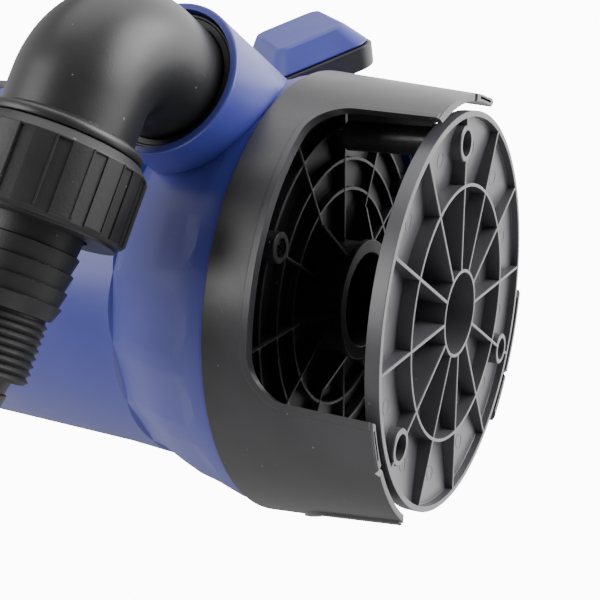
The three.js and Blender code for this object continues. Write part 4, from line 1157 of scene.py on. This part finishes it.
handle_start = COVER_TOP + GAP
leg = HANDLE_MIDDLE - HANDLE_CORNER - handle_start - OVERLAP
straight = 2 * (HANDLE_FOOT_X - HANDLE_CORNER)
profile = round_cornered(HANDLE_THICKNESS, HANDLE_WIDTH, HANDLE_EDGE)
shoulder = HANDLE_MIDDLE - HANDLE_CORNER
handle = drawn(
    shifted(profile, -HANDLE_FOOT_X, 0, handle_start + OVERLAP),
    [
        ("run", (0, 0, leg)),
        ("bend", (HANDLE_CORNER - HANDLE_FOOT_X, 0, shoulder), (0, 1, 0), -QUARTER, BEND_STEPS),
        ("run", (straight, 0, 0)),
        ("bend", (HANDLE_FOOT_X - HANDLE_CORNER, 0, shoulder), (0, 1, 0), -QUARTER, BEND_STEPS),
        ("run", (0, 0, -leg)),
    ],
)
for side in (-1, 1):
    foot = slab(*HANDLE_FOOT[:2], HANDLE_FOOT[1] / 4, handle_start, handle_start + HANDLE_FOOT[2])
    handle = added(handle, softened(shifted(foot, side * foot_x), FOOT_EDGE, ROUND_STEPS))
handle = cut(handle, foot_cuts)
piece_of(handle, "carry_handle_bar", charcoal_skirt, "housing", "carry_handle")
foot_top = handle_start + HANDLE_FOOT[2] + GAP
screws("handle_screw", FOOT_SCREW, screw_steel,
       [Matrix.Translation((side * foot_screw_x, 0, foot_top)) for side in (-1, 1)])

grip_thickness = HANDLE_THICKNESS + 2 * GRIP_WALL
grip_width = HANDLE_WIDTH + 2 * GRIP_WALL
grip_pitch = GRIP_LENGTH / (GRIP_RIB_COUNT + 1)
narrow = (*((width - 2 * GRIP_GROOVE_DEPTH) / width for width in (grip_thickness, grip_width)), 1)
wide = (1 / narrow[0], 1 / narrow[1], 1)
land = grip_pitch - 2 * GRIP_GROOVE
grip_moves = [("run", (0, 0, GRIP_GROOVE)), ("size", wide, (0, 0, 0)), ("run", (0, 0, land))]
for _ in range(GRIP_RIB_COUNT):
    grip_moves += [
        ("run", (0, 0, GRIP_GROOVE / 2)), ("size", narrow, (0, 0, 0)),
        ("run", (0, 0, GRIP_GROOVE)),
        ("run", (0, 0, GRIP_GROOVE / 2)), ("size", wide, (0, 0, 0)), ("run", (0, 0, land)),
    ]
grip_moves += [("run", (0, 0, GRIP_GROOVE)), ("size", narrow, (0, 0, 0))]
grip_profile = round_cornered(grip_thickness * narrow[0], grip_width * narrow[1], grip_thickness / 3)
grip = drawn(grip_profile, grip_moves)
core = bar((-HANDLE_THICKNESS / 2 - GAP, -HANDLE_WIDTH / 2 - GAP, -REACH),
           (HANDLE_THICKNESS / 2 + GAP, HANDLE_WIDTH / 2 + GAP, GRIP_LENGTH + REACH), OVERLAP)
grip = cut(grip, core)
piece_of(grip, "handle_grip_sleeve", soft_rubber, "housing", "handle_grip",
         pose=Matrix.Translation((-GRIP_LENGTH / 2, 0, HANDLE_MIDDLE)) @ TIP)

stem_outline = [
    (GLAND_RADIUS * GLAND_STEM_SHARE, 0),
    (GLAND_RADIUS * GLAND_STEM_SHARE, GLAND_HEIGHT * GLAND_STEM_SHARE),
    (GLAND_RADIUS * GLAND_TIP_SHARE, GLAND_HEIGHT),
]
for name, side in (("power_gland", 1), ("float_gland", -1)):
    stem = turned(eased(stem_outline, EDGE, closed=False), SMALL_FACETS, capped=True)
    hexagon = softened(rod(GLAND_RADIUS, 0, GLAND_HEIGHT / 2, HEXAGON), FOOT_EDGE)
    gland = cut(added(stem, hexagon), rod(GLAND_MOUTH, GLAND_HEIGHT / 2, GLAND_HEIGHT + REACH))
    piece_of(gland, f"{name}_nut", black_grip, "housing", name,
             pose=Matrix.Translation((side * GLAND_X, GLAND_Y, COVER_TOP + GAP)))

# ---- outlet elbow, union nut and hose tail

collar_floor = ELBOW_REACH + COLLAR_BORE_DEPTH - GAP
flange_start = collar_floor - FLANGE


def elbow_pipe(radius, outlet_end, inlet_end):
    """A pipe round the elbow's bend, from the tail's side to the collar's."""
    clear()
    place = (0, 0, outlet_end)
    bpy.ops.mesh.primitive_circle_add(vertices=MEDIUM_FACETS, radius=radius, location=place)
    return drawn(
        settle(bpy.context.object),
        [
            ("run", (0, 0, ELBOW_BEND - outlet_end)),
            ("bend", (ELBOW_BEND, 0, ELBOW_BEND), (0, 1, 0), QUARTER, ELBOW_STEPS),
            ("run", (inlet_end - ELBOW_BEND, 0, 0)),
        ],
    )


elbow = elbow_pipe(ELBOW_RADIUS, ELBOW_SPIGOT_END - OVERLAP, collar_floor - FLANGE / 2)
bead_outline = [
    (ELBOW_BORE, BEAD_START - EDGE),
    (ELBOW_RADIUS, BEAD_START - EDGE),
    (BEAD_RADIUS, BEAD_START + BEAD_SLOPE),
    (BEAD_RADIUS, BEAD_END),
    (ELBOW_SPIGOT_RADIUS, BEAD_END),
    (ELBOW_SPIGOT_RADIUS, ELBOW_SPIGOT_END),
    (ELBOW_BORE, ELBOW_SPIGOT_END),
]
bead_ring = turned(
    eased(bead_outline, BEAD_ROUND, closed=False, steps=BEAD_STEPS), MEDIUM_FACETS, capped=True
)
flange = placed(rod(FLANGE_RADIUS, flange_start, collar_floor, MEDIUM_FACETS, EDGE), TIP)
elbow = added(elbow, flange, bead_ring)
elbow = cut(elbow, elbow_pipe(ELBOW_BORE, ELBOW_SPIGOT_END + REACH, collar_floor + REACH))
piece_of(elbow, "elbow_bend", black_satin, "elbow", "elbow", pose=ARM)

ring_start = ELBOW_REACH + RING_INSET
ring_outside = COLLAR_BORE - GAP - RING_LOOSE
ring_inside = ELBOW_RADIUS + GAP
ring_outline = [
    (ring_inside, ring_start + RING_THICKNESS),
    (ring_inside, ring_start + RING_LIP_RAISE),
    (ring_outside - RING_LIP, ring_start + RING_LIP_RAISE),
    (ring_outside - RING_LIP + RING_LIP_RAISE / 2, ring_start),
    (ring_outside, ring_start),
    (ring_outside, ring_start + RING_THICKNESS),
]
retaining = turned(eased(ring_outline, EDGE / 2), MEDIUM_FACETS)
piece_of(retaining, "outlet_ring_clip", black_satin, "housing", "outlet_ring", pose=ARM @ TIP)

nut_start = BEAD_END + GAP
nut_outline = [
    (ELBOW_SPIGOT_RADIUS + GAP, nut_start),
    (BEAD_RADIUS, nut_start),
    (NUT_RADIUS, NUT_SHOULDER),
    (NUT_RADIUS, NUT_GRIP_END),
    (NUT_END_RADIUS, NUT_END - NUT_BAND),
    (NUT_END_RADIUS, NUT_END),
    (TAIL_RADIUS + GAP, NUT_END),
    (TAIL_RADIUS + GAP, NUT_WEB),
    (ELBOW_SPIGOT_RADIUS + GAP, NUT_WEB),
]
nut = turned(eased(nut_outline, EDGE), MEDIUM_FACETS * 2)
groove = softened(
    bar(
        (NUT_RADIUS - NUT_GROOVE_DEPTH, -NUT_GROOVE_WIDTH / 2, NUT_SHOULDER + NUT_GROOVE_INSET),
        (NUT_RADIUS + REACH, NUT_GROOVE_WIDTH / 2, NUT_END + REACH),
    ),
    EDGE / 2,
)
ridge_side = NUT_GROOVE_WIDTH / 2
ridge = bar(
    (NUT_RADIUS - NUT_GROOVE_DEPTH, ridge_side, NUT_SHOULDER),
    (NUT_RADIUS + NUT_RIDGE_RAISE, ridge_side + NUT_RIDGE_WIDTH, NUT_GRIP_END - NUT_GROOVE_INSET),
    EDGE / 2,
)
flat_angles = [math.radians(360 / NUT_FLATS * i) for i in range(NUT_FLATS)]
nut = cut(nut, around(groove, flat_angles))
nut = added(nut, around(ridge, flat_angles))
piece_of(nut, "union_nut_ring", black_grip, "nut", "union_nut", pose=ARM)


def barb(valley, crest, tip):
    """The step from one barb's end up to the next barb's edge."""
    return [(valley, tip - BARB_EDGE), (crest - BARB_EDGE, tip), (crest, tip + BARB_EDGE)]


tail_start = ELBOW_SPIGOT_END + GASKET_THICKNESS + 2 * GAP
thread_start = TAPER_END + THREAD_RELIEF
thread_end = thread_start + THREAD_COUNT * THREAD_PITCH
tail_outline = [
    (TAIL_BORE, tail_start),
    (ELBOW_SPIGOT_RADIUS, tail_start),
    (ELBOW_SPIGOT_RADIUS, NUT_WEB - GAP),
    (TAIL_RADIUS, NUT_WEB - GAP),
]
for tip in TAIL_TIPS:
    tail_outline += barb(TAIL_VALLEY, TAIL_RADIUS, tip)
tail_outline += [
    (TAPER_RADIUS, TAPER_END - BARB_EDGE),
    (TAPER_RADIUS - BARB_EDGE, TAPER_END),
    (THREAD_ROOT, TAPER_END),
]
for i in range(THREAD_COUNT):
    foot = thread_start + i * THREAD_PITCH
    tail_outline.append((THREAD_ROOT, foot))
    for share, ease in THREAD_SHAPE:
        tail_outline.append((THREAD_CREST - BARB_EDGE * ease, foot + THREAD_PITCH * share))
tail_outline += [(THREAD_ROOT, thread_end), (SMALL_TIP, thread_end)]
for tip in SMALL_TIPS:
    tail_outline += barb(SMALL_VALLEY, SMALL_TIP, tip)
tail_outline += [
    (TAIL_END_RADIUS, TAIL_END - EDGE),
    (TAIL_END_RADIUS - EDGE, TAIL_END),
    (TAIL_SMALL_BORE, TAIL_END),
    (TAIL_SMALL_BORE, thread_end - 2 * OVERLAP),
    (TAIL_BORE, thread_end - 2 * OVERLAP),
]
tail = turned(tail_outline, MEDIUM_FACETS)
piece_of(tail, "hose_tail_barbs", black_grip, "tail", "hose_tail", pose=ARM)

# ---- float switch


def tapered(width, length, low, high, low_inset, high_inset, corner):
    """A flat block with rounded corners whose ends are smaller than its width and length."""
    block = slab(width, length, corner, low, high)
    for height, inset in ((low, low_inset), (high, high_inset)):
        pick_edges(block, lambda a, b, z=height: max(abs(a.z - z), abs(b.z - z)) < OVERLAP / 4)
        shares = ((width - 2 * inset) / width, (length - 2 * inset) / length, 1)
        bpy.ops.transform.resize(value=shares, center_override=(0, 0, 0))
        close_mesh()
    return block


seam = GAP / 2
upper = tapered(FLOAT_WIDTH, FLOAT_LENGTH, seam, FLOAT_HALF, 0, FLOAT_TOP_INSET, FLOAT_CORNER)
step = bar((-FLOAT_WIDTH, FLOAT_STEP_Y, FLOAT_HALF - FLOAT_STEP),
           (FLOAT_WIDTH, FLOAT_LENGTH, FLOAT_HALF + REACH), EDGE)
upper = cut(softened(upper, FLOAT_EDGE, FLOAT_EDGE_STEPS), swung(step, FLOAT_STEP_TURN))
inner = tapered(
    FLOAT_WIDTH - 2 * FLOAT_WALL, FLOAT_LENGTH - 2 * FLOAT_WALL, -OVERLAP, FLOAT_HALF - FLOAT_WALL, 0,
    FLOAT_TOP_INSET, FLOAT_CORNER - FLOAT_WALL,
)
piece_of(cut(upper, inner), "float_upper_shell", blue_float, "float", "float_upper", pose=FLOAT_POSE)
lower_width = FLOAT_WIDTH + 2 * FLOAT_OVERSIZE
lower_length = FLOAT_LENGTH + 2 * FLOAT_OVERSIZE
lower = tapered(lower_width, lower_length, -FLOAT_HALF, -seam, FLOAT_BOTTOM_INSET, 0, FLOAT_CORNER)
hub = rod(HUB_RADIUS, -(FLOAT_HALF + HUB_DEPTH), -FLOAT_HALF + OVERLAP, MEDIUM_FACETS, EDGE)
lower = added(softened(lower, FLOAT_LOWER_EDGE, ROUND_STEPS), hub)
lower_inner = tapered(
    lower_width - 2 * FLOAT_WALL, lower_length - 2 * FLOAT_WALL, FLOAT_WALL - FLOAT_HALF, OVERLAP,
    FLOAT_BOTTOM_INSET, 0, FLOAT_CORNER - FLOAT_WALL,
)
peg_hole = rod(PEG_RADIUS + PEG_CLEARANCE, -2 * FLOAT_HALF, -FLOAT_HALF, MEDIUM_FACETS)
lower = cut(lower, lower_inner, peg_hole)
piece_of(lower, "float_lower_shell", charcoal_skirt, "float", "float_lower", pose=FLOAT_POSE)

# ---- parts inside the shells

INSIDE = {
    screw_steel: ("shaft", "float_ball"),
    motor_steel: ("motor_can", "stator", "rotor", "lower_bearing", "upper_bearing"),
    coil_copper: ("winding_lower", "winding_upper"),
    nut_brass: ("impeller_nut",),
    black_inside: ("impeller", "seal_plate", "capacitor", "float_switch"),
    soft_rubber: ("shaft_seal", "cover_seal", "elbow_seal", "tail_gasket"),
}
for finish, names in INSIDE.items():
    for name in names:
        solid = bpy.data.objects[name]
        solid.data.materials.clear()
        solid.data.materials.append(finish)

# ---- stage, light and camera

FLOOR_SIZE = 60
PAPER_WHITE = 0.9
PAPER_ROUGHNESS = 0.9

clear()
bpy.ops.mesh.primitive_plane_add(size=FLOOR_SIZE)
ground = bpy.context.object
ground.name = "pale_floor"
ground_finish = bpy.data.materials.new("pale floor")
ground_finish.use_nodes = True
nodes = ground_finish.node_tree.nodes
paper = given(nodes["Principled BSDF"], Base_Color=(*[PAPER_WHITE] * 3, 1), Roughness=PAPER_ROUGHNESS)
away = nodes.new("ShaderNodeBsdfTransparent")
path = nodes.new("ShaderNodeLightPath")
facing = nodes.new("ShaderNodeNewGeometry")
from_above = math_node(ground_finish.node_tree, "SUBTRACT", 1.0, facing.outputs["Backfacing"])
seen = math_node(ground_finish.node_tree, "MULTIPLY", path.outputs["Is Camera Ray"], from_above)
chooser = nodes.new("ShaderNodeMixShader")
linked(
    ground_finish.node_tree,
    (seen, chooser.inputs["Fac"]),
    (away.outputs["BSDF"], chooser.inputs[1]),
    (paper.outputs["BSDF"], chooser.inputs[2]),
    (chooser.outputs["Shader"], nodes["Material Output"].inputs["Surface"]),
)
ground.data.materials.append(ground_finish)

PHOTO_RIGHT = Vector((0.22997534, 0.410614, -0.88233071))
PHOTO_UP = Vector((0.95912009, -0.24927215, 0.13398528))
PHOTO_FORWARD = Vector((0.16492425, 0.87707442, 0.45115458))
CAMERA_PLACE = Vector((-109.4232 * MM, -352.7422 * MM, -129.6665 * MM))
FOCAL_SHARE = 1.7274453
FILM_WIDTH = 36
NEAR_CLIP = 0.01
PUMP_MIDDLE = Vector((-0.03, -0.01, 0.08))
ROOM_DARK = 0.16
ROOM_BACKDROP = 12
# Soft light of the room: towards where, from and to which share of facing it, and how strong
ROOM_GLOWS = (
    (PHOTO_FORWARD * 0.5 + PHOTO_RIGHT * 0.85 + PHOTO_UP * 0.35, 0.3, 0.95, 3.0),
    (PHOTO_UP, 0.0, 0.9, 0.3),
    (-PHOTO_UP, 0.0, 0.8, 0.45),
    (PHOTO_FORWARD * 0.4 - PHOTO_RIGHT * 0.9, 0.5, 0.95, 0.8),
)
# Softboxes: where from, distance and size in metres, watts
SOFTBOXES = {
    "key_light": (PHOTO_UP * 1.0 - PHOTO_FORWARD * 0.15 - PHOTO_RIGHT * 0.1, 1.1, 0.9, 6),
    "side_light": (PHOTO_UP * 0.25 - PHOTO_FORWARD * 0.6 - PHOTO_RIGHT * 0.85, 1.2, 0.8, 14),
    "base_light": (PHOTO_RIGHT * 1.0 - PHOTO_FORWARD * 0.25 + PHOTO_UP * 0.6, 1.2, 0.9, 22),
    "low_light": (-PHOTO_UP * 1.0 - PHOTO_FORWARD * 0.5, 1.2, 0.9, 5),
}

world = bpy.data.worlds.new("studio")
bpy.context.scene.world = world
world.use_nodes = True
room = world.node_tree
sky = given(room.nodes["Background"], Color=(1, 1, 1, 1))
way = room.nodes.new("ShaderNodeTexCoord")


def glow_from(direction, low, high, power):
    """Light that grows from one angle to another towards a direction."""
    toward = room.nodes.new("ShaderNodeVectorMath")
    toward.operation = "DOT_PRODUCT"
    toward.inputs[1].default_value = direction.normalized()
    linked(room, (way.outputs["Generated"], toward.inputs[0]))
    soft = room.nodes.new("ShaderNodeMapRange")
    soft.interpolation_type = "SMOOTHSTEP"
    given(soft, From_Min=low, From_Max=high, To_Max=power)
    linked(room, (toward.outputs["Value"], soft.inputs["Value"]))
    return soft.outputs["Result"]


room_glow = glow_from(*ROOM_GLOWS[0])
for row in ROOM_GLOWS[1:]:
    room_glow = math_node(room, "ADD", room_glow, glow_from(*row))
room_glow = math_node(room, "ADD", room_glow, ROOM_DARK)
ray = room.nodes.new("ShaderNodeLightPath")
backdrop = given(room.nodes.new("ShaderNodeMix"), B=ROOM_BACKDROP)
linked(
    room,
    (ray.outputs["Is Camera Ray"], backdrop.inputs["Factor"]),
    (room_glow, backdrop.inputs["A"]),
    (backdrop.outputs["Result"], sky.inputs["Strength"]),
)

for name, (way_in, distance, size, power) in SOFTBOXES.items():
    clear()
    bpy.ops.object.light_add(type="AREA", location=PUMP_MIDDLE + way_in.normalized() * distance)
    lamp = bpy.context.object
    lamp.name = name
    lamp.data.size = size
    lamp.data.energy = power
    lamp.rotation_mode = "QUATERNION"
    lamp.rotation_quaternion = way_in.to_track_quat("Z", "Y")

clear()
bpy.ops.object.camera_add(location=CAMERA_PLACE)
camera = bpy.context.object
camera.name = "camera"
camera.rotation_mode = "QUATERNION"
photo_axes = Matrix((PHOTO_RIGHT, PHOTO_UP, -PHOTO_FORWARD)).transposed()
camera.rotation_quaternion = photo_axes.to_quaternion()
camera.data.sensor_width = FILM_WIDTH
camera.data.lens = FOCAL_SHARE * FILM_WIDTH
camera.data.clip_start = NEAR_CLIP
bpy.context.scene.camera = camera
